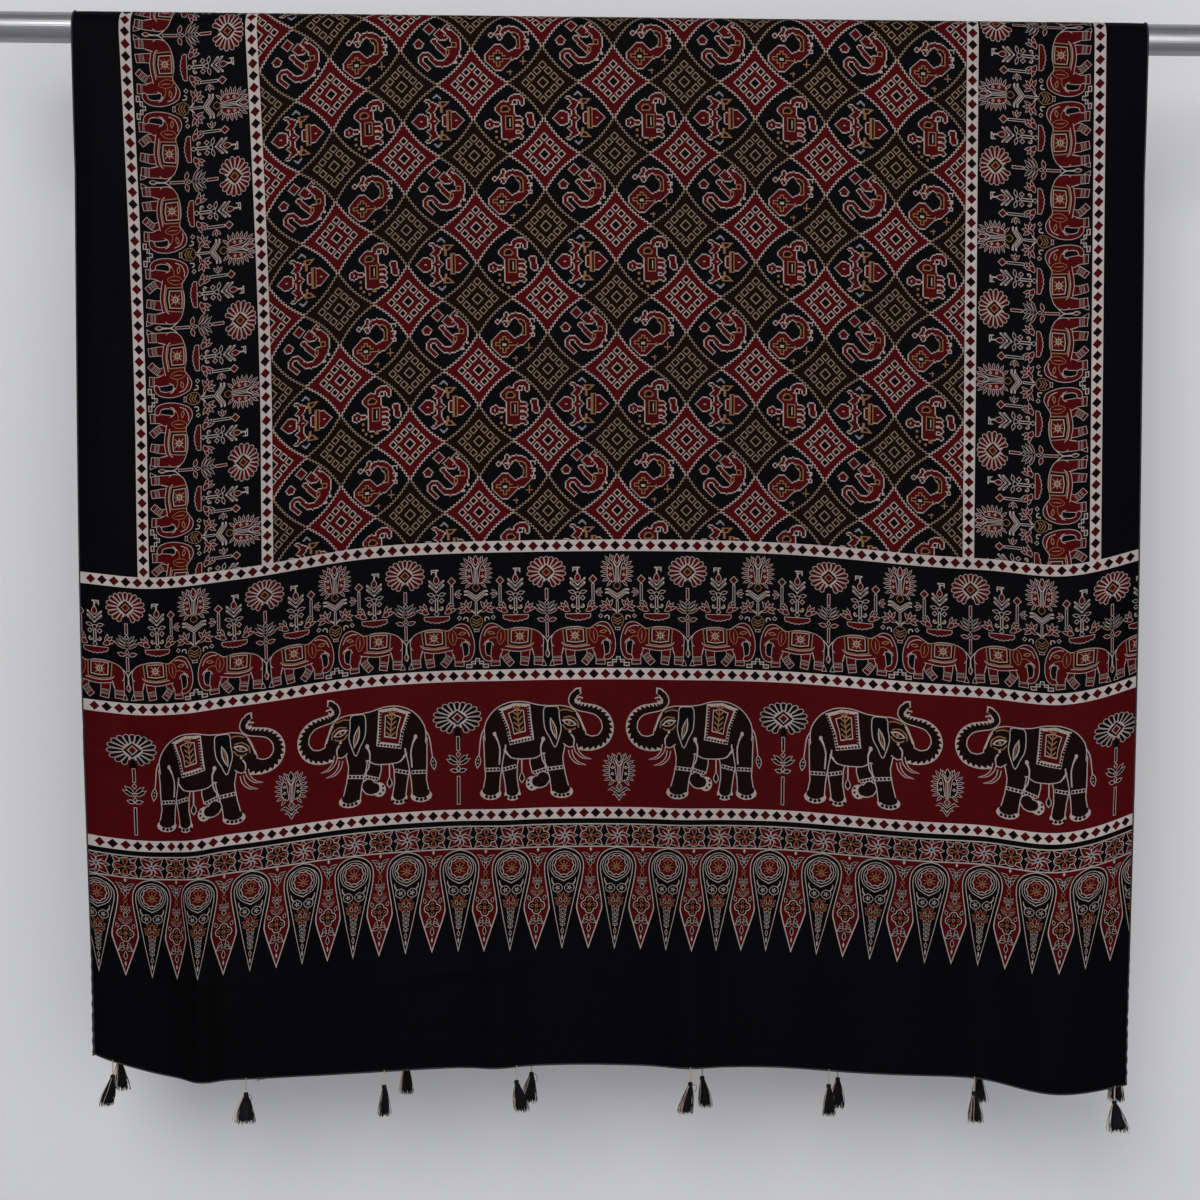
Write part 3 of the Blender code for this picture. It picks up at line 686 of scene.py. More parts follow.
def spear():
    side = [(13.4, 49), (13.9, 45), (12.6, 39), (6.0, 18), (0, 0)]
    motif = [("cream", mirroredSide(side, 3)),
             ("madder", mirroredSide([(12.4, 49), (12.7, 45.2), (11.5, 39.6), (5.1, 18.6), (0, 3.4)], 3))]
    half = []
    for x, y, long, turn in ((0.8, 98.5, 9, 62), (0.8, 95, 7.4, 48), (0.6, 91.4, 5.6, 34)):
        half += edged("black", petal(x, y, long, 2.8, turn, 3, 0.8), 0.65)
    for y, long, ink in ((74.6, 5.6, "black"), (71, 6.0, "black"), (63, 8.2, "madder"), (59, 9.0, "black")):
        half += edged(ink, petal(0.3, y - 1.5, long, 1.8, 48, 3), 0.55, "cream" if ink == "black" else "gold")
    for x, y, long, turn in ((2.6, 36.8, 7.6, 158), (1.6, 33.4, 8.6, 134), (1.0, 30.6, 6.4, 112),
                             (7.4, 53.4, 4.6, 20)):
        half += edged("black", petal(x, y, long, 2.8, turn, 3, 0.8), 0.6)
    motif += both(half)
    motif += edged("black", petal(0, 88.4, 6, 3, 0, 3), 0.6)
    motif += edged("madder", gem(0, 84.6, 1.7, 2.3), 0.65, "gold")
    motif += edged("black", petal(0, 75.8, 6.2, 3.6, 0, 3), 0.65, "gold")
    motif += edged("black", gem(0, 67.6, 2.0, 2.6), 0.7)
    axes = [(4.2 * math.sin(math.pi / 2 * k), 4.5 * math.cos(math.pi / 2 * k)) for k in range(4)]
    motif += [("cream", oval(x, 47.2 + y, 4.9, sides=12)) for x, y in axes]
    motif += [("black", oval(x, 47.2 + y, 4.1, sides=12)) for x, y in axes]
    motif += [("black", oval(0, 47.2, 3, sides=8))]
    for k in range(4):
        motif += [("gold", petal(0, 47.2, 7.4, 4.2, 90 * k, 3, 1.5)),
                  ("madder", petal(0, 47.2, 6.6, 3.1, 90 * k, 3, 1.7))]
    motif += [("gold", oval(0, 47.2, 1.7, sides=8)), ("madder", oval(0, 47.2, 0.9, sides=6))]
    motif += edged("black", petal(0, 27, 8.4, 3.4, 180, 3, 1.3), 0.7)
    motif += [("cream", petal(0, 16.4, 5.6, 1.9, 180, 3)), ("cream", gem(0, 106.4, 1.5, 2.4))]
    return motif


# a square round its middle
def square(x, y, half):
    return rect(x - half, y - half, x + half, y + half)


# buds of the field's figures: a gem and a square laid over each other, at (x, y, half width)
def buds(*spots):
    gems = [("madder", gem(x, y, half)) for x, y, half in spots]
    return gems + [("madder", square(x, y, 0.62 * half)) for x, y, half in spots]


# a gold box with a brown middle
def goldBox(x0, y0, x1, y1, edge=1.5):
    return [("gold", rect(x0, y0, x1, y1)), ("brown", rect(x0 + edge, y0 + edge, x1 - edge, y1 - edge))]


def trunkFigure():
    motif = buds((-6, 21, 4.6), (-17.2, 5.8, 5))
    motif += [("madder", ribbon([(-7.5, -21), (-13, -16), (-16, -10), (-12.5, -5), (-7, -6.5), (-2.5, -12.5),
                                 (4, -15.5), (11, -14), (16.5, -8.5), (20, -1), (20, 8), (16.5, 14.5),
                                 (11, 17.5)], [3, 3, 3.2, 3.4, 3.4, 4, 4.8, 6, 7.6, 8.6, 8.4, 6.6, 4.4], 4)),
              ("madder", ribbon([(16, -2), (9.5, -3.5), (4, 1.5), (-2.5, 9.5)], [8, 5.4, 4, 3.6], 4)),
              ("madder", gem(4.6, 15, 4.8)),
              ("madder", ribbon([(5, 13), (9, 10.5), (11.5, 13)], [3.2, 3, 3], 3)),
              ("madder", ribbon([(11, 17.5), (10, 21.5), (13.5, 23.5)], [3.4, 3, 3], 3))]
    motif += goldBox(15.6, 1, 21.8, 7.4) + goldBox(9.2, -6.4, 14.6, -0.4)
    return motif + [("cream", square(24.6, -7.6, 1.6)), ("cream", square(19.6, -14.2, 1.6))]


def birdFigure():
    motif = [("madder", lobed(-9, -10.5, 12, 12, 4, 0.10, 5)),
             ("madder", ribbon([(-3, -9), (6, -8), (12, -4.5), (15.6, 2), (14.6, 9), (11, 15), (4, 19)],
                               [8, 8, 8.4, 8.6, 8, 7, 5], 4)), ("madder", gem(-6.4, 14, 5.4)),
             ("madder", rect(-7.6, 9, -5.2, 22)),
             ("madder", ribbon([(4, 19), (0, 18.6), (-3.5, 15.5)], [4.4, 3.6, 3.4], 3)),
             ("cream", rect(-7.2, 11, -5.6, 17)), ("cream", rect(-9.4, 13.2, -3.4, 14.8)),
             ("madder", gem(-15.8, 13, 2.6))]
    motif += [("gold", rect(-11.4, -19.5, -6.6, -1.5)), ("gold", rect(-18, -12.9, 0, -8.1)),
              ("gold", rect(-14, -15.5, -4, -5.5)), ("gold", rect(0, -12, 5.5, -9)),
              ("brown", rect(-9.8, -18, -8.2, -3)), ("brown", rect(-16.5, -11.3, 4, -9.7)),
              ("brown", rect(-12.4, -14, -5.6, -7)), ("cream", rect(-10.6, -12, -7.4, -9))]
    motif += [("gold", ribbon([(11.5, -2.5), (12.4, 5), (11, 11), (5.5, 14.6)], [5.2], 4)),
              ("brown", ribbon([(11.6, -0.6), (12.3, 5), (10.8, 10.6), (6.6, 13.6)], [2.4], 4))]
    for y in (13.6, 6.6, -0.6):
        motif += [("cream", rect(17.6, y, 23, y + 1.5)), ("cream", rect(21.6, y - 3, 23, y + 1.5)),
                  ("cream", rect(18.8, y - 3, 23, y - 1.6))]
    for x, y, r in ((16.4, -14.6, 4.2), (2.6, -26, 2.8)):
        motif += [("gold", rect(x - 0.8, y - r, x + 0.8, y + r)),
                  ("gold", rect(x - r, y - 0.8, x + r, y + 0.8))]
    return motif


def vaseFigure():
    motif = [("madder", flat((-25.5, 0), (-18, -7.5), (-11.5, -5), (-11.5, 5), (-18, 7.5))),
             ("cream", gem(-17.4, 0, 2)), ("madder", gem(-4, 0, 5)), ("madder", rect(-6.4, -9, -3.4, 9)),
             ("cream", gem(-4, 0, 1.9)), ("madder", rect(4.6, -5, 8.6, 5)), ("gold", rect(9, -11, 15, 11)),
             ("brown", rect(10.6, -9.4, 13.4, 9.4)),
             ("madder", flat((15, -7.6), (19, -7.6), (26, 0), (19, 7.6), (15, 7.6))),
             ("cream", gem(18.6, 0, 2))]
    half = [("madder", flat((-12.6, 21.5), (-8.4, 18), (-7, 14.4), (-11.4, 10), (-5.4, 8), (-2, 12),
                            (-1, 16.6), (-5.6, 18.6), (-9.6, 21.5))),
            ("gold", flat((0, 20.6), (14.6, 20.6), (9, 15), (6, 14.6), (5.4, 9), (2.6, 9), (1.4, 14))),
            ("brown", flat((3.4, 18.8), (9.8, 18.8), (6.6, 16.4), (4.4, 15))),
            ("grey", flat((-5.4, 23.2), (-3.8, 22), (-0.4, 25.6), (3, 22), (4.6, 23.2), (-0.4, 28.4)))]
    return motif + half + stretched(half, 1, -1)


def riderFigure():
    motif = (buds((-19.4, -5, 5)) + [("cream", rect(-20.4, -6, -18.4, -4)),
                                     ("madder", rect(-14, -6, -9, -3.6))])
    motif += [("madder", rect(-6, -19.5, 7, 5)), ("madder", lobed(-4.6, 10.6, 7.6, 7.4, 4, 0.06, 4)),
              ("madder", rect(-4, 2, 6, 14))]
    motif += [("gold", oval(-3.4, 10.2, 5.4, 4.4, 10)), ("brown", oval(-3.4, 10.2, 3.6, 2.6, 8))]
    motif += goldBox(-3, -11, 5.2, 4.2) + [("cream", rect(0.3, -8, 1.9, 1.4))]
    motif += [("madder", ribbon([(1, 15), (3.5, 20.5), (9, 23), (13.5, 20.5), (14.5, 14.5)],
                                [3.4, 4, 4, 3.6, 3], 4)), ("cream", rect(5, 14.6, 9.4, 16)),
              ("cream", rect(8, 15, 9.4, 19.4))]
    for y in (1.5, -4.4, -10.4, -16.6):
        motif += [("madder", rect(7, y - 1.5, 13.5, y + 1.5)), ("madder", rect(12, y - 2.9, 14.8, y))]
    motif += [("madder", rect(19, 1, 24.4, 5.4)), ("madder", rect(20.4, -6, 24.4, 3)),
              ("madder", rect(22, -8.6, 27, -2)), ("gold", rect(0, -24.6, 3.2, -19.5)),
              ("brown", rect(-0.6, -22, 1.2, -19.5))]
    return (motif + [("gold", square(x, y, 1.6))
                     for x, y in ((-12.8, -12.6), (-12.8, -18.6), (-9.4, -23.6), (-4, -25.8))])


# a square on its corner whose hollow sides run in stairs and whose tips are blunt
def steppedRhombus(half, hollow, steps):
    tread = half / (steps + 0.5)
    across, up = half - tread * np.arange(steps + 1), tread * (np.arange(steps + 1) + 0.5)
    stair = np.empty((2 * steps + 1, 2))
    stair[0::2] = np.stack((across, up), 1)
    stair[1::2] = np.stack((across[1:], up[:-1]), 1)
    share = (stair[:, 1] - stair[:, 0] + half) / (2 * half)
    quarter = stair - hollow * np.sin(np.pi * share)[:, None]
    corners = [quarter]
    for k in range(3):
        quarter = quarter @ np.array(((0, 1), (-1, 0)))
        corners.append(quarter)
    return np.vstack(corners)


checker = {"gap": 0.7, "hollow": 2.3, "steps": 13, "trim": 1.0, "rosary": 17.6, "beads": 3}


# a rhombus of the checker, with three beads along each side of an inner square and one in its middle
def rhombus(ink, trim, pitch, tall):
    body = steppedRhombus(pitch / 2 - checker["gap"], checker["hollow"], checker["steps"])
    motif = [(trim, grown(body, checker["trim"])), (ink, body)]
    inner = "black" if ink == "madder" else "brown"
    out, beads = checker["rosary"], checker["beads"]
    corners = np.array(((0, out), (out, 0), (0, -out), (-out, 0), (0, out)))
    for side in range(4):
        for step in np.arange(beads) / beads:
            x, y = corners[side] * (1 - step) + corners[side + 1] * step
            motif += [(trim, gem(x, y, 4.6)), (inner, gem(x, y, 3.1))]
    motif += [(trim, gem(0, 0, 6.2)), (inner, gem(0, 0, 4.6))]
    return stretched(motif, 1, tall / pitch)


filled = inks["cream"]      # the inks before this one fill a shape, this one and the rest draw lines


# a figure read on a square chart, with one cream step round its filled parts; its edges run where the chart
# changes from cell to cell
def charted(motif, step, cells, thin):
    place = (np.arange(cells) - (cells - 1) / 2) * step
    spot = np.stack([axis.ravel() for axis in np.meshgrid(place, place)], 1)
    chart = np.full(cells * cells, -1)
    for ink, outline in motif:
        chart[inside(outline, spot)] = inks[ink]
    chart = chart.reshape(cells, cells)
    full = np.pad((chart >= 0) & (chart < filled), 1)
    near = full[2:, 1:-1] | full[:-2, 1:-1] | full[1:-1, 2:] | full[1:-1, :-2]
    chart[near & (chart < 0)] = inks["cream"]
    wide = np.pad(chart, 1, constant_values=-1)
    level = wide[1:, 1:-1] != wide[:-1, 1:-1]      # level edges, one for each cell above and below a change
    upright = wide[1:-1, 1:] != wide[1:-1, :-1]
    east, west = np.pad(level, ((0, 0), (0, 1))), np.pad(level, ((0, 0), (1, 0)))
    north, south = np.pad(upright, ((0, 1), (0, 0))), np.pad(upright, ((1, 0), (0, 0)))
    straight = (east & west & ~north & ~south) | (north & south & ~east & ~west)
    corner = ~straight & (east | west | north | south)
    count = np.arange(cells + 1)
    after = np.where(corner, count[None], cells + 1)
    after = np.minimum.accumulate(after[:, ::-1], 1)[:, ::-1]
    above = np.where(corner, count[:, None], cells + 1)
    above = np.minimum.accumulate(above[::-1], 0)[::-1]
    number = np.cumsum(corner.ravel()).reshape(corner.shape) - 1
    row, column = np.nonzero(corner & east)
    edges = [np.stack((number[row, column], number[row, after[row, column + 1]]), 1)]
    row, column = np.nonzero(corner & north)
    edges.append(np.stack((number[row, column], number[above[row + 1, column], column]), 1))
    row, column = np.nonzero(corner)
    # every line ink is drawn back a little from its neighbours
    fine = np.pad(chart >= filled, 1).astype(int)
    east, west = fine[1:, 1:] + fine[:-1, 1:], fine[1:, :-1] + fine[:-1, :-1]
    north, south = fine[1:, 1:] + fine[1:, :-1], fine[:-1, 1:] + fine[:-1, :-1]
    back = np.stack((np.sign(east - west)[row, column], np.sign(north - south)[row, column]), 1) * thin
    corners = np.stack((column - cells / 2, row - cells / 2), 1) * step + back
    return {"corners": corners, "edges": np.vstack(edges), "chart": chart, "step": step, "thin": thin / step}


# even-odd rule: a spot is inside when a level line from it crosses the outline an odd number of times
def inside(outline, spots):
    x0, y0 = outline.T
    x1, y1 = np.roll(x0, -1), np.roll(y0, -1)
    x, y = spots[:, 0:1], spots[:, 1:2]
    spans = (y0 > y) != (y1 > y)
    rise = np.where(y1 == y0, 1e-9, y1 - y0)
    return (np.sum(spans & (x < x0 + (y - y0) * (x1 - x0) / rise), 1) % 2).astype(bool)


# the layout of the print on the flat cloth, in millimetres from its middle and up from the hem
layout = {
    "width": 1120, "length": 2230, "pallu": 557,
    "sides": ((-496, -484, -364, -352), (504, 516, 372, 384)),   # outer and inner bands of each side border
    "field": (-352, 372), "rhombus": (72.4, 74.2), "rhombusAt": (10, 587.8),
    "frieze": 148.4, "friezeAt": 9.4, "friezeBase": 422, "sideFriezeAt": 596.8,
    "redBand": (275, 410), "elephant": 348.0, "elephantAt": 7.8, "elephantLimit": 600,
    "elephants": ((-86, 1), (88.6, -1)), "elephantUp": 7,        # (from the pair's middle, 1 or -1 mirrored)
    "tree": (4, 2),                                              # from half way to the next pair, and up
    "tumpal": 55.7, "tumpalAt": 6.6, "tumpalBase": 124, "tumpalGround": 47, "rosettes": (233, 257),
    "bands": (263, 410, 545), "bandHeight": 12, "diamond": 24.6, "diamondAt": 1.5, "sideDiamondAt": 12,
    # how far past the cloth's edges repeats are still laid, so that none is missing there
    "tumpalPast": 40, "elephantPast": 140, "friezePast": 80, "sidePast": 70, "fieldPast": (80, 40),
    # longest straight edge, spacing of the plain ground's points, and the finest corner that is kept
    "longestEdge": 9.0, "ground": 8.6, "finest": 0.17,
    "turn": (1062, 1168, 4.0), "turnAcross": (554, 186),         # closer rows of points over the rod
    "seams": (275, 557, 1146, 1673, 1955),                       # where the mesh is parted into panels
    "chart": 1.5, "chartCells": 41, "thin": 0.22,
    # how the folds carry the print: the left edge's drop, a dip right of the middle and the right edge's
    # rise, each with where it starts or lies and how far it runs, and the sideways drift high up and low down
    "drop": (43, -150, 410, 0.35), "dropPower": 2.4, "slump": (7, -420, 100, 500, 200),
    "dip": ((4, 11), 345, 98), "rise": ((19, 4), 400, 160), "drift": (14, 700, 300, 650), "driftPower": 1.5,
    "swing": (5, 300, 150, 200), "pinch": (6, 260, 110), "edge": 40, "fade": (300, 0.4),
}
halfWidth = layout["width"] / 2
wholeCloth = (-halfWidth, 0, halfWidth, layout["length"])


# the repeats that fall between two limits: where each lies, and its number
def repeats(first, pitch, low, high):
    numbers = range(math.ceil((low - first) / pitch), math.floor((high - first) / pitch) + 1)
    return [(first + pitch * number, number) for number in numbers]


# a row of repeats right across the cloth: (x, y, turn, 1 or -1 mirrored) for each
def rowAcross(first, pitch, past, y):
    return [(x, y, 0, 1) for x, number in repeats(first, pitch, -halfWidth - past, halfWidth + past)]


# a layer is (outlines of one repeat, its places, the box that it is cut to); a strip is laid only once
def strip(ink, *box):
    return ([(ink, rect(*box))], [(0, 0, 0, 1)], None)


# an ivory strip with pairs of diamonds along its middle
def diamondBand(box, places):
    motif = []
    for x, ink in ((-layout["diamond"] / 4, "madder"), (layout["diamond"] / 4, "brown")):
        motif += [("black", gem(x, 0, 5.3, 5.0)), (ink, gem(x, 0, 4.5, 4.2))]
    return [strip("ivory", *box), (motif, places, None)]


# the pallu from the hem up: spears and teardrops, rosettes between two lines, the red band, the frieze, and
# over them three diamond bands
def palluLayers():
    base, (rowLow, rowHigh), (low, high) = layout["tumpalBase"], layout["rosettes"], layout["redBand"]
    drops = rowAcross(layout["tumpalAt"], layout["tumpal"], layout["tumpalPast"], base)
    spears = [(x + layout["tumpal"] / 2, y, turn, way) for x, y, turn, way in drops]
    layers = [strip("madder", -halfWidth, base + layout["tumpalGround"], halfWidth, rowLow),
              (spear(), spears, None), (teardrop(), drops, None),
              strip("cream", -halfWidth, rowLow - 0.4, halfWidth, rowLow + 0.9),
              strip("black", -halfWidth, rowLow + 0.9, halfWidth, layout["bands"][0]),
              strip("cream", -halfWidth, rowHigh - 0.6, halfWidth, rowHigh + 0.7)]
    middle = (rowLow + rowHigh) / 2 + 0.2
    for rosette, wide, row in ((starRosette(), 1.22, drops), (loopRosette(), 1.2, spears)):
        layers.append((stretched(rosette, wide, 1.04), [(x, middle, turn, way) for x, y, turn, way in row],
                       None))
    tree, palmette, elephant = redBand()
    middles = rowAcross(layout["elephantAt"], layout["elephant"], layout["elephantPast"], low)
    pairs = [(x, y) for x, y, turn, way in middles if abs(x) < layout["elephantLimit"]]
    aside, up = layout["tree"]
    layers += [strip("madder", -halfWidth, low, halfWidth, high), (palmette, middles, None),
               (tree, [(x + layout["elephant"] / 2 + aside, y + up, 0, 1) for x, y, turn, way in middles],
                None)]
    for shift, way in layout["elephants"]:
        layers.append((elephant, [(x + shift, y + layout["elephantUp"], 0, way) for x, y in pairs], None))
    units = rowAcross(layout["friezeAt"], layout["frieze"], layout["friezePast"], layout["friezeBase"])
    layers.append((friezeUnit(), units, None))
    for start in layout["bands"]:
        row = rowAcross(layout["diamondAt"], layout["diamond"], 0, start + layout["bandHeight"] / 2)
        layers += diamondBand((-halfWidth, start, halfWidth, start + layout["bandHeight"]), row)
    return layers


# the field and its borders: red and brown rhombi like a checkerboard, one of four figures between each four
# of them, and a frieze up each side between two diamond bands
def fieldLayers():
    left, right = layout["field"]
    low, high = layout["pallu"], layout["length"] - layout["pallu"]
    clip = (left, low, right, high)
    pitch, tall = layout["rhombus"]
    firstX, firstY = layout["rhombusAt"]
    before, after = layout["fieldPast"]
    red, brown, figures = [], [], ([], [], [], [])
    for y, row in repeats(firstY, tall, low - before, high + after):
        for x, column in repeats(firstX, pitch, left - before, right + after):
            (red if (column + row) % 2 == 0 else brown).append((x, y, 0, 1))
            figures[row % 2 * 2 + column % 2].append((x + pitch / 2, y + tall / 2, 0, 1))
    layers = [(rhombus("madder", "cream", pitch, tall), red, clip),
              (rhombus("brown", "tan", pitch, tall), brown, clip)]
    for shape, places in zip((birdFigure, trunkFigure, riderFigure, vaseFigure), figures):
        layers.append((charted(shape(), layout["chart"], layout["chartCells"], layout["thin"]), places, clip))
    units = repeats(layout["sideFriezeAt"], layout["frieze"], low - layout["sidePast"],
                    high + layout["sidePast"])
    diamonds = repeats(low + layout["sideDiamondAt"], layout["diamond"], low, high)
    for outerLow, outerHigh, innerLow, innerHigh in layout["sides"]:
        onLeft = outerLow < 0
        foot, turn = (outerHigh, -90) if onLeft else (outerLow, 90)
        inner = (outerHigh, low, innerLow, high) if onLeft else (innerHigh, low, outerLow, high)
        layers += [strip("black", *inner), (friezeUnit(), [(foot, y, turn, 1) for y, number in units], inner)]
        for start, end in ((outerLow, outerHigh), (innerLow, innerHigh)):
            places = [((start + end) / 2, y, 90, 1) for y, number in diamonds]
            layers += diamondBand((start, low, end, high), places)
    return layers


# corners that hardly leave the straight line between their neighbours are dropped, every other one at a time
def lighter(outline, finest):
    for odd in (0, 1, 0):
        before, after = np.roll(outline, 1, 0), np.roll(outline, -1, 0)
        chord = after - before
        off = np.abs(chord[:, 0] * (outline - before)[:, 1] - chord[:, 1] * (outline - before)[:, 0])
        off /= np.linalg.norm(chord, axis=1) + 1e-9
        drop = (off < finest) & (np.arange(len(outline)) % 2 == odd)
        if len(outline) - drop.sum() > 3:
            outline = outline[~drop]
    return outline


# all corners of a motif, and its edges as pairs of their numbers
def cornersOf(motif):
    if isinstance(motif, dict):
        return motif["corners"], motif["edges"]
    counts = np.array([len(outline) for ink, outline in motif])
    first = np.cumsum(counts) - counts
    follow = np.arange(counts.sum()) + 1
    follow[first + counts - 1] = first
    return np.vstack([outline for ink, outline in motif]), np.stack((np.arange(counts.sum()), follow), 1)


# a repeat's own frame put on the cloth: mirrored, turned, then moved
def laidOut(corners, places):
    x, y, turn, way = np.array(places, float).T[:, :, None]
    cosine, sine = np.cos(np.radians(turn)), np.sin(np.radians(turn))
    across, up = corners[None, :, 0] * way, corners[None, :, 1]
    return np.stack((x + across * cosine - up * sine, y + across * sine + up * cosine), 2)


# whether points lie in a box, or at most the slack outside it
def within(points, box, slack=0.0):
    return ((points[..., 0] > box[0] - slack) & (points[..., 1] > box[1] - slack) &
            (points[..., 0] < box[2] + slack) & (points[..., 1] < box[3] + slack))


# long edges cut into equal pieces no longer than the limit
def cutEdges(points, edges, longest):
    start, end = points[edges[:, 0]], points[edges[:, 1]]
    pieces = np.maximum(np.ceil(np.linalg.norm(end - start, axis=1) / longest), 1).astype(int)
    extra = pieces - 1
    owner = np.repeat(np.arange(len(edges)), extra)
    share = (np.arange(len(owner)) - np.repeat(np.cumsum(extra) - extra, extra) + 1) / pieces[owner]
    added = start[owner] + (end - start)[owner] * share[:, None]
    first = len(points) + np.cumsum(extra) - extra
    owner = np.repeat(np.arange(len(edges)), pieces)
    step = np.arange(len(owner)) - np.repeat(np.cumsum(pieces) - pieces, pieces)
    tail = np.where(step == 0, edges[owner, 0], first[owner] + step - 1)
    head = np.where(step == pieces[owner] - 1, edges[owner, 1], first[owner] + step)
    return np.vstack((points, added)), np.stack((tail, head), 1)


# every outline on the whole cloth as points and edges, then the cloth's rim, the seams and the field's box
def outlineNet(layers):
    allPoints, allEdges, count = [], [], 0
    for motif, places, clip in layers:
        corners, edges = cornersOf(motif)
        spots = laidOut(corners, places)
        edges = edges[None] + np.arange(len(places))[:, None, None] * len(corners)
        points, edges = spots.reshape(-1, 2), edges.reshape(-1, 2)
        keep = within(points, clip or wholeCloth, 0.01)
        edges = edges[keep[edges[:, 0]] | keep[edges[:, 1]]]
        used, edges = np.unique(edges, return_inverse=True)
        allPoints.append(points[used])
        allEdges.append(edges.reshape(-1, 2) + count)
        count += len(used)
    left, right = layout["field"]
    loops = [rect(*wholeCloth)] + [flat((-halfWidth, v), (halfWidth, v)) for v in layout["seams"]]
    loops.append(rect(left, layout["pallu"], right, layout["length"] - layout["pallu"]))
    for loop in loops:
        # a seam is a single edge, the others close
        edges = [(k, (k + 1) % len(loop)) for k in range(len(loop) if len(loop) > 2 else 1)]
        allPoints.append(loop)
        allEdges.append(np.array(edges) + count)
        count += len(loop)
    return cutEdges(np.vstack(allPoints), np.vstack(allEdges), layout["longestEdge"])


# points of the plain ground: a staggered grid, left out where outlines already have corners close by
def groundPoints(points):
    width, length = layout["width"], layout["length"]
    columns, rows = int(width / layout["ground"]), int(length / layout["ground"])

    def cellOf(spots):
        row = (spots[:, 1] / length * rows).astype(int)
        column = ((spots[:, 0] + halfWidth) / width * columns).astype(int)
        return np.clip(row, 0, rows - 1) + 1, np.clip(column, 0, columns - 1) + 1

    busy = np.zeros((rows + 2, columns + 2), bool)
    busy[cellOf(points)] = True
    near = busy.copy()
    near[1:] |= busy[:-1]
    near[:-1] |= busy[1:]
    near[:, 1:] |= busy[:, :-1]
    near[:, :-1] |= busy[:, 1:]
    row, column = np.nonzero(~near[1:-1, 1:-1])
    shift = 0.25 + 0.5 * (row % 2)
    grid = np.stack((-halfWidth + (column + shift) * width / columns, (row + 0.5) * length / rows), 1)
    # closer rows where the cloth turns over the rod
    reach, count = layout["turnAcross"]
    u, v = np.meshgrid(np.linspace(-reach, reach, count), np.arange(*layout["turn"]))
    turnRows = np.stack((u.ravel(), v.ravel()), 1)
    return np.vstack((grid, turnRows[~busy[cellOf(turnRows)]]))


# each triangle takes the last ink whose outline holds its middle
def inkOf(middles, layers):
    ink = np.zeros(len(middles), int)
    order = np.argsort(middles[:, 1])
    heights = middles[order, 1]
    for motif, places, clip in layers:
        corners, edges = cornersOf(motif)
        local, owner = [], []
        for x, y, turn, way in places:
            laid = laidOut(corners, [(x, y, turn, way)])[0]
            low, high = laid.min(0), laid.max(0)
            if clip:
                low, high = np.maximum(low, clip[:2]), np.minimum(high, clip[2:])
            some = order[np.searchsorted(heights, low[1]):np.searchsorted(heights, high[1])]
            some = some[(middles[some, 0] > low[0]) & (middles[some, 0] < high[0])]
            # the places of this repeat's own frame, the other way round than laidOut
            cosine, sine = math.cos(math.radians(turn)), math.sin(math.radians(turn))
            right, up = (middles[some] - (x, y)).T
            local.append(np.stack(((right * cosine + up * sine) * way, up * cosine - right * sine), 1))
            owner.append(some)
        local, owner = np.vstack(local), np.concatenate(owner)
        if isinstance(motif, dict):
            found = chartInk(motif, local)
            ink[owner[found >= 0]] = found[found >= 0]
            continue
        byX = np.argsort(local[:, 0])
        local, owner = local[byX], owner[byX]
        for name, outline in motif:
            low, high = outline.min(0), outline.max(0)
            first, last = np.searchsorted(local[:, 0], (low[0], high[0]))
            level = local[first:last, 1]
            some = np.arange(first, last)[(level > low[1]) & (level < high[1])]
            ink[owner[some[inside(outline, local[some])]]] = inks[name]
    return ink


# the chart's ink at each spot; a line ink that is drawn back leaves its edge to the filled cell beside it
def chartInk(motif, spots):
    cells, thin = len(motif["chart"]), motif["thin"]
    column, row = spots.T / motif["step"] + cells / 2
    ahead, over = (np.where(part % 1 < thin, -1, np.where(part % 1 > 1 - thin, 1, 0))
                   for part in (column, row))
    wide = np.pad(motif["chart"], 1, constant_values=-1)
    column, row = (np.clip(part.astype(int), 0, cells - 1) + 1 for part in (column, row))
    found = wide[row, column]
    for beside in (wide[row + over, column + ahead], wide[row + over, column], wide[row, column + ahead]):
        found = np.where((wide[row, column] >= filled) & (beside < filled), beside, found)
    return found


# the back pallu is the front one turned upside down about the middle of the cloth's length
def mirroredPallu(layers):
    return [(motif, [(x, layout["length"] - y, 180 - turn, -way) for x, y, turn, way in places], clip)
            for motif, places, clip in layers]


# how far the print sits above straight: minus a power growing to the left edge, most at half height, minus
# a bell at each side, the left one above the pallu only, plus a square growing to the right edge, from the
# hem up
def pullAt(u, v):
    tall = layout["length"] / 2
    drop, left, run, ease = layout["drop"]
    (low, high), middle, wide = layout["dip"]
    (lowRise, highRise), right, way = layout["rise"]
    nearEdge = np.clip((left - u) / run, 0, 1) ** layout["dropPower"]
    pull = -drop * nearEdge * (1 - ease * (2 * v / tall - 1) ** 2)
    slump, hollow, spread, begin, grow = layout["slump"]
    pull -= slump * np.exp(-((u - hollow) / spread) ** 2) * np.clip((v - begin) / grow, 0, 1)
    pull -= (low + (high - low) * v / tall) * np.exp(-((u - middle) / wide) ** 2)
    pull += (lowRise + (highRise - lowRise) * v / tall) * np.clip((u - right) / way, 0, 1) ** 2
    return pull * np.clip(v / layout["tumpalBase"], 0, 1)


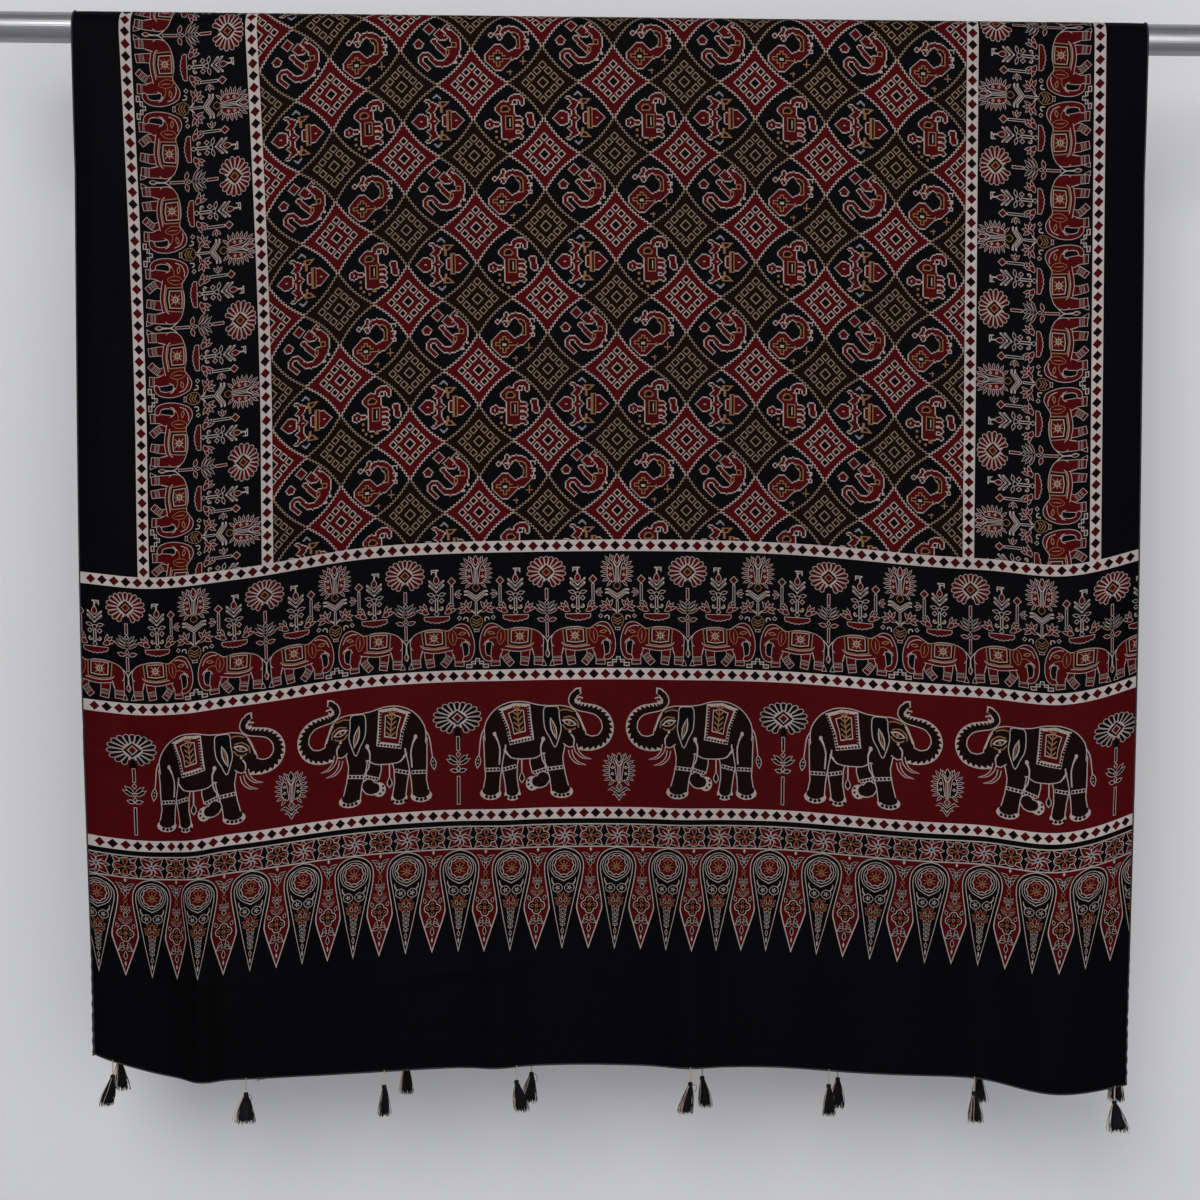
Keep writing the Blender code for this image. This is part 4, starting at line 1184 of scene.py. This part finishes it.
# how far it sits to the right: to the left near the rod, to the right at elephant height and pinched at the
# teardrops, nothing at either edge
def slideAt(u, v):
    tall = layout["length"] / 2
    drift, start, right, run = layout["drift"]
    swing, level, spread, reach = layout["swing"]
    pinch, middle, wide = layout["pinch"]
    rise = np.clip((v - start) / (tall - start), 0, 1) ** layout["driftPower"]
    slide = -drift * rise * np.clip((right - u) / run, 0, 1)
    slide += swing * np.exp(-((v - level) / spread) ** 2) * np.clip(np.abs(u - reach) / reach, 0, 1)
    nearBase = np.clip(1 - np.abs(v / layout["tumpalBase"] - 1), 0, 1)
    slide -= pinch * np.exp(-((u - middle) / wide) ** 2) * nearBase
    return slide * np.clip((halfWidth - np.abs(u)) / layout["edge"], 0, 1)


# where the print really lies: the front by the two rules above, fading behind the rod into a fainter mirror
def bowed(u, v):
    half, length = layout["length"] / 2, layout["length"]
    run, faint = layout["fade"]
    fade = np.clip((v - half) / run, 0, 1)
    fade = fade * fade * (3 - 2 * fade)
    front, back = np.minimum(v, half), np.minimum(length - v, half)
    slide, pull = ((1 - fade) * rule(u, front) - faint * fade * rule(u, back) for rule in (slideAt, pullAt))
    return u + slide, v + pull


def simpler(motif):
    if isinstance(motif, dict):
        return motif
    return [(ink, lighter(outline, layout["finest"])) for ink, outline in motif]


# the whole print as one flat triangulation whose edges follow every outline, with an ink for each triangle
def printCloth():
    pallu = palluLayers()
    layers = [(simpler(motif), places, clip) for motif, places, clip in fieldLayers() + pallu +
              mirroredPallu(pallu)]
    points, edges = outlineNet(layers)
    points = np.vstack((points, groundPoints(points)))
    print("scene: outline net", len(points), "points", len(edges), "edges")
    result = delaunay_2d_cdt(list(map(Vector, points.tolist())), edges.tolist(), [], 0, 1e-3, False)
    spots, faces = np.array(result[0]), np.array(result[2])
    middles = spots[faces].mean(1)
    keep = within(middles, wholeCloth)
    faces, middles = faces[keep], middles[keep]
    print("scene: flat print", len(spots), "points", len(faces), "triangles")
    return spots, faces, middles, inkOf(middles, layers)


# node groups are shared by the cloth, the hem and the tassels; an input is (label, kind, value or None)
def newGroup(name, inputs, outputs):
    group = bpy.data.node_groups.new(name, "ShaderNodeTree")
    for label, kind, value in inputs:
        socket = group.interface.new_socket(label, in_out="INPUT", socket_type=kind)
        if value is not None:
            socket.default_value = value
    for label, kind in outputs:
        group.interface.new_socket(label, in_out="OUTPUT", socket_type=kind)
    return group, group.nodes.new("NodeGroupInput"), group.nodes.new("NodeGroupOutput")


# a node with its properties set; an input of it is given by its label
def addNode(tree, kind, inputs={}, **values):
    node = tree.nodes.new(kind)
    for key, value in values.items():
        setattr(node, key, value)
    for label, value in inputs.items():
        if hasattr(value, "is_output"):
            tree.links.new(value, node.inputs[label])
        else:
            node.inputs[label].default_value = value
    return node


def addNoise(tree, place, scale, detail=2.0, dimensions="3D"):
    return addNode(tree, "ShaderNodeTexNoise", {"Scale": scale, "Detail": detail, "Vector": place},
                   noise_dimensions=dimensions).outputs["Fac"]


# a place drawn out or drawn together along each axis
def drawnOut(tree, place, scale):
    return addNode(tree, "ShaderNodeMapping", {"Scale": scale, "Vector": place}).outputs[0]


def mathNode(tree, operation, first, second=None, third=None):
    node = addNode(tree, "ShaderNodeMath", operation=operation)
    for socket, value in zip(node.inputs, (first, second, third)):
        if value is None:
            continue
        if isinstance(value, (int, float)):
            socket.default_value = value
        else:
            tree.links.new(value, socket)
    return node.outputs[0]


weaveLook = {"threads": 2400.0, "slub": 0.5, "ridge": 0.25,
             "slubs": ((60.0, 1400.0, 1.0), (1700.0, 45.0, 1.0))}


# plain weave: its height is the product of a sine wave along each of warp and weft, plus slubs, which are
# noise drawn out along each thread
def makeWeave():
    tree, given, out = newGroup("silkWeave", [("Place", "NodeSocketVector", None),
                                              ("Threads", "NodeSocketFloat", weaveLook["threads"]),
                                              ("Slub", "NodeSocketFloat", weaveLook["slub"])],
                                [("Height", "NodeSocketFloat"), ("Thread", "NodeSocketFloat")])
    parts = addNode(tree, "ShaderNodeSeparateXYZ", {"Vector": given.outputs["Place"]})
    phases = [mathNode(tree, "MULTIPLY", parts.outputs[axis], given.outputs["Threads"]) for axis in (0, 1)]
    warp, weft = (mathNode(tree, "SINE", phase) for phase in phases)
    slubs = [addNoise(tree, drawnOut(tree, given.outputs["Place"], scale), 1.0, 2.0, "2D")
             for scale in weaveLook["slubs"]]
    slub = mathNode(tree, "MULTIPLY", mathNode(tree, "ADD", slubs[0], slubs[1]), given.outputs["Slub"])
    ridges = mathNode(tree, "MULTIPLY", mathNode(tree, "MULTIPLY", warp, weft), weaveLook["ridge"])
    tree.links.new(mathNode(tree, "ADD", ridges, slub), out.inputs["Height"])
    tree.links.new(mathNode(tree, "SUBTRACT", slubs[0], slubs[1]), out.inputs["Thread"])
    return tree


# each noise as (scale, weight), how much the threads count, and roughness as (change, middle)
dyeLook = {"noises": ((5.0, 1.2), (70.0, 0.8)), "thread": 0.5, "dull": (0.1, 0.58)}


# uneven dye: the colour times 1 + amount x (a wide soft noise + a mottle + the threads themselves); where it
# is lighter it is also a little duller
def makeDye():
    tree, given, out = newGroup("unevenDye", [("Colour", "NodeSocketColor", (0.5, 0.5, 0.5, 1)),
                                              ("Place", "NodeSocketVector", None),
                                              ("Thread", "NodeSocketFloat", 0.0),
                                              ("Amount", "NodeSocketFloat", 0.15)],
                                [("Colour", "NodeSocketColor"), ("Dull", "NodeSocketFloat")])
    shades = []
    for scale, weight in dyeLook["noises"]:
        noise = mathNode(tree, "SUBTRACT", addNoise(tree, given.outputs["Place"], scale, 3.0, "2D"), 0.5)
        shades.append(mathNode(tree, "MULTIPLY", noise, weight))
    threads = mathNode(tree, "MULTIPLY", given.outputs["Thread"], dyeLook["thread"])
    uneven = mathNode(tree, "ADD", mathNode(tree, "ADD", *shades), threads)
    factor = mathNode(tree, "MULTIPLY_ADD", uneven, given.outputs["Amount"], 1.0)
    scaled = addNode(tree, "ShaderNodeVectorMath", {"Vector": given.outputs["Colour"], "Scale": factor},
                     operation="SCALE")
    tree.links.new(scaled.outputs[0], out.inputs["Colour"])
    tree.links.new(mathNode(tree, "MULTIPLY_ADD", uneven, *dyeLook["dull"]), out.inputs["Dull"])
    return tree


weaveGroup, dyeGroup = makeWeave(), makeDye()


def newMaterial(name):
    material = bpy.data.materials.new(name)
    material.use_nodes = True
    return material, material.node_tree, material.node_tree.nodes["Principled BSDF"]


def placeGroup(tree, group, **inputs):
    return addNode(tree, "ShaderNodeGroup", inputs, node_tree=group)


# uneven dye for the colour and roughness of a material
def dyed(tree, shader, colour, place, thread, amount):
    dye = placeGroup(tree, dyeGroup, Colour=colour, Place=place, Thread=thread, Amount=amount)
    tree.links.new(dye.outputs["Colour"], shader.inputs["Base Color"])
    tree.links.new(dye.outputs["Dull"], shader.inputs["Roughness"])


def bumped(tree, shader, height, distance, strength=1.0):
    bump = addNode(tree, "ShaderNodeBump", {"Height": height, "Distance": distance, "Strength": strength})
    tree.links.new(bump.outputs[0], shader.inputs["Normal"])


silk = {
    "inks": {"black": (0.0012, 0.0012, 0.0018), "madder": (0.052, 0.0014, 0.0022),
             "brown": (0.0058, 0.0017, 0.0008), "cream": (0.29, 0.240, 0.215), "gold": (0.19, 0.090, 0.042),
             "grey": (0.17, 0.175, 0.19), "tan": (0.165, 0.120, 0.080), "ivory": (0.37, 0.320, 0.295)},
    "uneven": 0.30, "bump": (0.00012, 0.35), "gloss": 0.025,
    # the map that the looks can be baked to has a cell for each ink, inside this margin
    "bakeCells": (4, 2), "bakeMargin": 0.01,
}


def makeSilk():
    material, tree, shader = newMaterial("printedSilk")
    weave = addNode(tree, "ShaderNodeUVMap", uv_map="weave")
    threads = placeGroup(tree, weaveGroup, Place=weave.outputs[0])
    ink = addNode(tree, "ShaderNodeAttribute", attribute_name="ink")
    dyed(tree, shader, ink.outputs["Color"], weave.outputs[0], threads.outputs["Thread"], silk["uneven"])
    bumped(tree, shader, threads.outputs["Height"], *silk["bump"])
    shader.inputs["Specular IOR Level"].default_value = silk["gloss"]
    return material


panelNames = ("silkFrontTips", "silkFrontPallu", "silkFrontField", "silkBackField", "silkBackPallu",
              "silkBackTips")
panelLimits = list(zip((0,) + layout["seams"], layout["seams"] + (layout["length"],)))


# the cloth's panels: the flat print hung over the rod, and parted at the seams of the layout
def makeCloth():
    spots, faces, middles, ink = printCloth()
    u, v = (part / 1000 for part in bowed(spots[:, 0], spots[:, 1]))
    places, normals = hang(u, v), facing(u, v)
    colours = np.array([silk["inks"][name] + (1.0,) for name in inks])
    material = makeSilk()
    panels = []
    (cellsAcross, cellsUp), margin = silk["bakeCells"], silk["bakeMargin"]
    for name, (low, high) in zip(panelNames, panelLimits):
        some = (middles[:, 1] > low) & (middles[:, 1] <= high)
        used, corners = np.unique(faces[some], return_inverse=True)
        corners = corners.reshape(-1, 3)
        panel = addPiece(name, places[used], corners, material)
        mesh = panel.data
        mesh.normals_split_custom_set_from_vertices(normals[used])
        dye = mesh.attributes.new("ink", "BYTE_COLOR", "CORNER")
        dye.data.foreach_set("color", np.repeat(colours[ink[some]], 3, 0).ravel().astype(np.float32))
        weave = mesh.uv_layers.new(name="weave")
        at = used[corners.ravel()]
        weave.uv.foreach_set("vector", np.stack((u[at], v[at]), 1).ravel().astype(np.float32))
        # the bake's map: the panel once for each ink, side by side, and a face lies in its own ink's copy
        bake = mesh.uv_layers.new(name="OFBake")
        across, up = (spots[at, 0] + halfWidth) / layout["width"], (spots[at, 1] - low) / (high - low)
        cell = np.repeat(ink[some], 3)
        corner = np.stack((cell % cellsAcross / cellsAcross, cell // cellsAcross / cellsUp), 1) + margin
        corner += np.stack((across, up), 1) * (1 / cellsAcross - 2 * margin, 1 / cellsUp - 2 * margin)
        bake.uv.foreach_set("vector", corner.ravel().astype(np.float32))
        mesh.uv_layers["weave"].active = True
        mesh.uv_layers["weave"].active_render = True
        panels.append(panel)
        print("scene:", name, len(corners), "triangles")
    return panels


panels = makeCloth()


# at each point of the path a ring of the given radius lies square to the path's direction
def tube(path, radius, sides, closed=False):
    path = np.asarray(path, float)
    way = np.gradient(path, axis=0)
    if closed:
        way = np.roll(path, -1, 0) - np.roll(path, 1, 0)
    way /= np.linalg.norm(way, axis=1)[:, None] + 1e-12
    lean = np.where(np.abs(way[:, 1:2]) < 0.9, (0.0, 1.0, 0.0), (1.0, 0.0, 0.0))
    side = np.cross(way, lean)
    side /= np.linalg.norm(side, axis=1)[:, None]
    up = np.cross(side, way)
    angle = np.linspace(0, 2 * np.pi, sides, endpoint=False)[None, :, None]
    radius = np.broadcast_to(np.asarray(radius, float), (len(path),))[:, None, None]
    points = path[:, None] + radius * (np.cos(angle) * side[:, None] + np.sin(angle) * up[:, None])
    ring, around = np.arange(len(path) if closed else len(path) - 1)[:, None], np.arange(sides)[None]
    after, beside = (ring + 1) % len(path), (around + 1) % sides
    faces = np.stack((ring * sides + around, ring * sides + beside, after * sides + beside,
                      after * sides + around), 2)
    faces = faces.reshape(-1, 4).tolist()
    if not closed:
        faces += [list(range(sides))[::-1], list(range((len(path) - 1) * sides, len(path) * sides))]
    return points.reshape(-1, 3), faces


# several (points, faces) as one
def joined(parts):
    points, faces, count = [], [], 0
    for some, made in parts:
        points.append(some)
        faces += [[corner + count for corner in face] for face in made]
        count += len(some)
    return np.vstack(points), faces


# yarn: uneven dye whose threads are a fine noise, which also makes the bump
def makeYarn(name, look):
    material, tree, shader = newMaterial(name)
    place = addNode(tree, "ShaderNodeTexCoord").outputs["Object"]
    fibres = addNoise(tree, place, look["fineness"])
    dyed(tree, shader, (*look["colour"], 1), place, fibres, look["uneven"])
    bumped(tree, shader, fibres, *look["bump"])
    shader.inputs["Specular IOR Level"].default_value = look["gloss"]
    return material


hem = {"radius": 0.00095, "sides": 8, "step": 0.004, "rim": 0.0008, "corner": 0.0015}
hemLook = {"colour": (0.0050, 0.0052, 0.0070), "fineness": 900.0, "uneven": 0.3, "bump": (0.0003, 0.6),
           "gloss": 0.5}


# the rolled hem: a round cord swept once round the cloth, just inside its rim
def makeHem():
    edge, length, rim, corner = drape["width"] / 2, drape["length"], hem["rim"], hem["corner"]
    wide = np.arange(corner - edge, edge - corner, hem["step"])
    tall = np.arange(corner, length - corner, hem["step"])
    sides = np.full(len(tall), edge - rim)
    across = np.concatenate((wide, sides, wide[::-1], -sides))
    along = np.concatenate((np.full(len(wide), rim), tall, np.full(len(wide), length - rim), tall[::-1]))
    path = hang(across, along)
    points, faces = tube(path, hem["radius"], hem["sides"], closed=True)
    return addPiece("rolledHem", points, faces, makeYarn("rolledHem", hemLook))


rolledHem = makeHem()
print("scene: hem")


# a tassel is a doubled thread from the hem, a wound head and a skirt of strands
threadLook = {"fineness": 2500.0, "uneven": 0.45, "bump": (0.0001, 1.0), "gloss": 0.12}
tassel = {
    "thread": 0.0135, "ply": 0.00042, "twist": 5.5, "head": (0.0026, 0.0050), "winds": 7,
    "skirt": 0.031, "halfWidth": 0.0068, "halfDepth": 0.0042, "root": 0.0019,
    "strands": 84, "pale": 5, "strand": 0.00032, "strandSteps": 8, "core": 0.52,
    "black": (0.0042, 0.0042, 0.0055), "beige": (0.42, 0.31, 0.24),
    "coil": 0.0004, "caught": 0.0006, "ring": (0.0016, 0.0004, 0.0002),     # ring's radius, thickness, wobble
    "skirtFrom": 0.55, "middle": 0.86, "fan": 0.92,                         # shares of head, skirt and width
    "reach": (0.85, 0.3), "lengths": (0.90, 0.12), "goldenAngle": 2.39996,  # (least, spread) of the strands
    "sway": (0.0009, 5.0, 7), "ripple": 0.06, "loose": (0.0042, 0.004, 0.006, 0.00028),
    # (across, lean of the skirt, flare of the skirt, loop of loose thread)
    "front": ((-0.537, -0.22, 1.00, 0), (-0.387, -0.02, 1.60, 1), (-0.238, 0.00, 0.75, 0),
              (-0.096, 0.18, 1.00, 0), (0.090, -0.16, 1.05, 1), (0.239, 0.02, 0.85, 0),
              (0.395, 0.08, 0.95, 1), (0.545, 0.16, 1.55, 0)),
    "back": ((-0.531, 0.10, 1.00, 0), (-0.375, -0.12, 1.20, 0), (-0.219, 0.04, 0.90, 0),
             (-0.081, -0.08, 1.10, 1), (0.103, 0.12, 0.90, 0), (0.250, -0.04, 1.10, 0),
             (0.402, 0.06, 1.00, 1), (0.548, 0.10, 1.15, 0)),
}


threadBlack = makeYarn("blackThread", {"colour": tassel["black"], **threadLook})
threadBeige = makeYarn("beigeThread", {"colour": tassel["beige"], **threadLook})


# a run of numbers between 0 and 1 that looks random and is the same every time
def scattered(count, seed):
    return np.modf(np.abs(np.sin(np.arange(count) * 12.9898 + seed * 78.233) * 43758.5453))[0]


# strands: each path starts on a small ring and opens as a quarter sine, with a slow sway of its own
def skirtPaths(lean, flare, seed):
    count, steps = tassel["strands"], tassel["strandSteps"]
    share = np.linspace(0, 1, steps + 1)[None]
    (nearest, further), (shortest, longer) = tassel["reach"], tassel["lengths"]
    angle = (np.arange(count) * tassel["goldenAngle"] + seed)[:, None]
    reach = np.sqrt((np.arange(count) + 0.5) / count)[:, None]
    reach = reach * (nearest + further * scattered(count, seed)[:, None])
    length = tassel["skirt"] * (shortest + longer * scattered(count, seed + 3))[:, None]
    opened = np.sin(share * np.pi / 2) * reach
    size, waves, spread = tassel["sway"]
    sway = size * np.sin(share * waves + spread * scattered(count, seed + 5)[:, None]) * share
    wide, deep = tassel["halfWidth"] * flare * tassel["fan"], tassel["halfDepth"] * tassel["fan"]
    x = tassel["root"] * reach * np.cos(angle) + wide * opened * np.cos(angle) + sway
    y = tassel["root"] * reach * np.sin(angle) + deep * opened * np.sin(angle)
    z = np.broadcast_to(-length * share, x.shape)
    return np.stack((x + lean * length * share, y, z), 2)


# strands as square tubes: a level square round every point of every path, thinner at the tip
def squareTubes(paths, radius):
    count, steps = paths.shape[:2]
    square = np.array(((1, 0, 0), (0, 1, 0), (-1, 0, 0), (0, -1, 0)), float)
    thin = np.linspace(1, 0.7, steps)[None, :, None, None]
    points = paths[:, :, None] + square * radius * thin
    first = (np.arange(count)[:, None, None] * steps + np.arange(steps - 1)[None, :, None]) * 4
    around = np.arange(4)[None, None]
    here, beside = first + around, first + (around + 1) % 4
    faces = np.stack((here, here + 4, beside + 4, beside), 3).reshape(-1, 4)
    top = np.arange(count)[:, None] * steps * 4 + np.arange(4)
    bottom = top + (steps - 1) * 4
    return points.reshape(-1, 3), np.vstack((faces, top, bottom[:, ::-1])).tolist()


# wound head: a barrel whose radius ripples once for each wind, closed at both ends
def woundHead(top):
    radius, height = tassel["head"]
    share = np.linspace(0, 1, tassel["winds"] * 4 + 1)
    ripple = 1 - tassel["ripple"] + tassel["ripple"] * np.abs(np.sin(np.pi * share * tassel["winds"]))
    barrel = np.sqrt(np.clip(1 - (2 * share - 1) ** 4, 0.05, 1)) * radius * ripple
    path = np.stack((np.zeros_like(share), np.zeros_like(share), top - height * share), 1)
    return tube(path, barrel, 14)


# the thread's two plies wind round each other down to the head, and a small ring catches them at the hem
def hangingThread():
    share, parts = np.linspace(0, 1, 30), []
    for side in (0, math.pi):
        twist = share * tassel["twist"] * np.pi + side
        fall = tassel["caught"] - (tassel["thread"] + 2 * tassel["caught"]) * share
        path = np.stack((np.cos(twist) * tassel["coil"], np.sin(twist) * tassel["coil"], fall), 1)
        parts.append(tube(path, tassel["ply"], 6))
    size, thick, wobble = tassel["ring"]
    angle = np.linspace(0, 2 * np.pi, 14, endpoint=False)
    ring = np.stack((wobble * np.sin(3 * angle), size * np.cos(angle), thick + size * np.sin(angle)), 1)
    return parts + [tube(ring, thick, 6, closed=True)]


# the close-packed middle of the skirt, opening like the strands round it
def skirtMiddle(top, lean, flare):
    share = np.linspace(0, 1, 9)
    path = np.stack((lean * tassel["skirt"] * share, 0 * share,
                     top - tassel["middle"] * tassel["skirt"] * share), 1)
    opened = tassel["core"] * tassel["halfWidth"] * flare * np.sin(share * np.pi / 2)
    points, faces = tube(path, tassel["root"] + opened, 12)
    return points * (1, tassel["halfDepth"] / tassel["halfWidth"], 1), faces


# a loose thread that bows out beside the head
def looseLoop(side):
    wide, down, fall, radius = tassel["loose"]
    share = np.linspace(0, 1, 22)
    x = wide * np.sin(np.pi * share) * side + down * share
    z = -tassel["thread"] - down - fall * share + fall * np.sin(np.pi * share) * (1 - share)
    return tube(np.stack((x, 0.001 * np.cos(5 * share) - 0.0025, z), 1), radius, 5)


def makeTassel(name, node, across, along, lean, flare, loop, seed):
    knot = hang(np.array([across]), np.array([along]))[0]
    top = -tassel["thread"] - tassel["head"][1] * tassel["skirtFrom"]
    paths = skirtPaths(lean, flare, seed)
    paths[:, :, 2] += top
    # the pale strands lie on the outside, more of them towards the viewer's left
    outer = np.arange(tassel["strands"] // 2, tassel["strands"])
    facingLeft = np.argsort((paths[outer, -1, 0] + 0.6 * paths[outer, -1, 1]) +
                            0.004 * scattered(len(outer), seed))
    few = outer[facingLeft[:tassel["pale"]]]
    dark = np.delete(np.arange(tassel["strands"]), few)
    parts = [woundHead(-tassel["thread"]), squareTubes(paths[dark], tassel["strand"]),
             skirtMiddle(top, lean, flare)]
    if loop:
        parts.append(looseLoop(loop))
    darkPoints, darkFaces = joined(parts)
    palePoints, paleFaces = joined(hangingThread() + [squareTubes(paths[few], tassel["strand"])])
    points, faces = joined([(darkPoints, darkFaces), (palePoints, paleFaces)])
    piece = addPiece(name, points + knot, faces, threadBlack)
    piece.data.materials.append(threadBeige)
    slots = np.repeat((0, 1), (len(darkFaces), len(paleFaces)))
    piece.data.polygons.foreach_set("material_index", slots.astype(np.int32))
    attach(piece, "root")
    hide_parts(node)
    return piece


for fall, along, seed in (("front", 0.0, 0), ("back", drape["length"], 20)):
    for number, (across, lean, flare, loop) in enumerate(tassel[fall], 1):
        makeTassel(f"{fall}Tassel{number}", f"tassel_{fall}_{number}", across, along, lean,
                                  flare, loop, number + seed)


rodLook = {"colour": (0.33, 0.33, 0.335), "roughness": (0.24, 0.42), "lines": (6.0, 900.0, 900.0),
           "smudge": 18.0, "bump": 0.00005}


# drawn satin steel: its roughness is 0.6 of a noise drawn out into fine lines along the rod plus 0.4 of a
# wide smudge, spread between two limits
def dressRod():
    material, tree, shader = newMaterial("satinSteel")
    place = addNode(tree, "ShaderNodeTexCoord").outputs["Object"]
    lines = addNoise(tree, drawnOut(tree, place, rodLook["lines"]), 1.0, 4.0)
    smudge = addNoise(tree, place, rodLook["smudge"])
    mixed = mathNode(tree, "ADD", mathNode(tree, "MULTIPLY", lines, 0.6),
                     mathNode(tree, "MULTIPLY", smudge, 0.4))
    brightest, dullest = rodLook["roughness"]
    spread = addNode(tree, "ShaderNodeMapRange", {"From Min": 0.3, "From Max": 0.7, "To Min": brightest,
                                                  "To Max": dullest, "Value": mixed})
    tree.links.new(spread.outputs[0], shader.inputs["Roughness"])
    bumped(tree, shader, lines, rodLook["bump"])
    shader.inputs["Base Color"].default_value = (*rodLook["colour"], 1)
    shader.inputs["Metallic"].default_value = 1.0
    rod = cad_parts["rod"]
    for slot in rod.material_slots:
        slot.link = "OBJECT"
        slot.material = material


dressRod()

for panel in panels + [rolledHem]:
    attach(panel, "root")
    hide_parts("cloth")


stage = {"wall": (0.73, 0.73, 0.735), "floor": (0.50, 0.50, 0.50), "wallAt": 0.22, "floorAt": -1.75,
         "halfWide": 6, "top": 4, "roughness": 0.9, "gloss": 0.1}
# (name, place, aim, size, power)
lights = (("key", (-0.8, -4.3, 1.5), (0, 0, -0.40), 2.4, 98),
          ("fill", (1.2, -4.2, -0.3), (0, 0, -0.6), 3.0, 52))
room = {"colour": (0.80, 0.82, 0.86, 1), "strength": 0.40}
camera = {"place": (0.0246, -2.2, -0.5075), "aim": (-0.0005, 0.0, -0.5932), "roll": 0.804, "lens": 62.44}


# the stage shows only its front, so that the object can be looked at from behind as well
def makeStage():
    wide, wallAt, floorAt = stage["halfWide"], stage["wallAt"], stage["floorAt"]
    wall = ((-wide, wallAt, floorAt), (wide, wallAt, floorAt), (wide, wallAt, stage["top"]),
            (-wide, wallAt, stage["top"]))
    floor = ((-wide, -wide, floorAt), (wide, -wide, floorAt), (wide, wide, floorAt), (-wide, wide, floorAt))
    for name, corners in (("wall", wall), ("floor", floor)):
        material, tree, shader = newMaterial(name)
        shader.inputs["Base Color"].default_value = (*stage[name], 1)
        shader.inputs["Roughness"].default_value = stage["roughness"]
        shader.inputs["Specular IOR Level"].default_value = stage["gloss"]
        geometry = addNode(tree, "ShaderNodeNewGeometry")
        front = mathNode(tree, "SUBTRACT", 1, geometry.outputs["Backfacing"])
        tree.links.new(front, shader.inputs["Alpha"])
        addPiece(name, np.array(corners, float), [(0, 1, 2, 3)], material, False)


# how an object at the place turns to look at the aim
def looking(place, aim):
    return (Vector(aim) - Vector(place)).to_track_quat("-Z", "Y")


def addLight(name, place, aim, size, power):
    data = bpy.data.lights.new(name, "AREA")
    data.shape, data.size, data.energy = "DISK", size, power
    lamp = bpy.data.objects.new(name, data)
    lamp.location = place
    lamp.rotation_euler = looking(place, aim).to_euler()
    bpy.context.scene.collection.objects.link(lamp)


def makeCamera():
    data = bpy.data.cameras.new("camera")
    data.lens, data.sensor_width, data.clip_start = camera["lens"], 36, 0.05
    body = bpy.data.objects.new("camera", data)
    roll = Matrix.Rotation(math.radians(camera["roll"]), 3, "Z")
    turn = looking(camera["place"], camera["aim"]).to_matrix() @ roll
    body.matrix_world = Matrix.Translation(camera["place"]) @ turn.to_4x4()
    bpy.context.scene.collection.objects.link(body)
    bpy.context.scene.camera = body


makeStage()
for light in lights:
    addLight(*light)
world = bpy.data.worlds.new("room")
world.use_nodes = True
background = world.node_tree.nodes["Background"]
background.inputs["Color"].default_value = room["colour"]
background.inputs["Strength"].default_value = room["strength"]
bpy.context.scene.world = world
bpy.context.scene.view_settings.view_transform = "Standard"
makeCamera()
print("scene: stage, lights and camera")
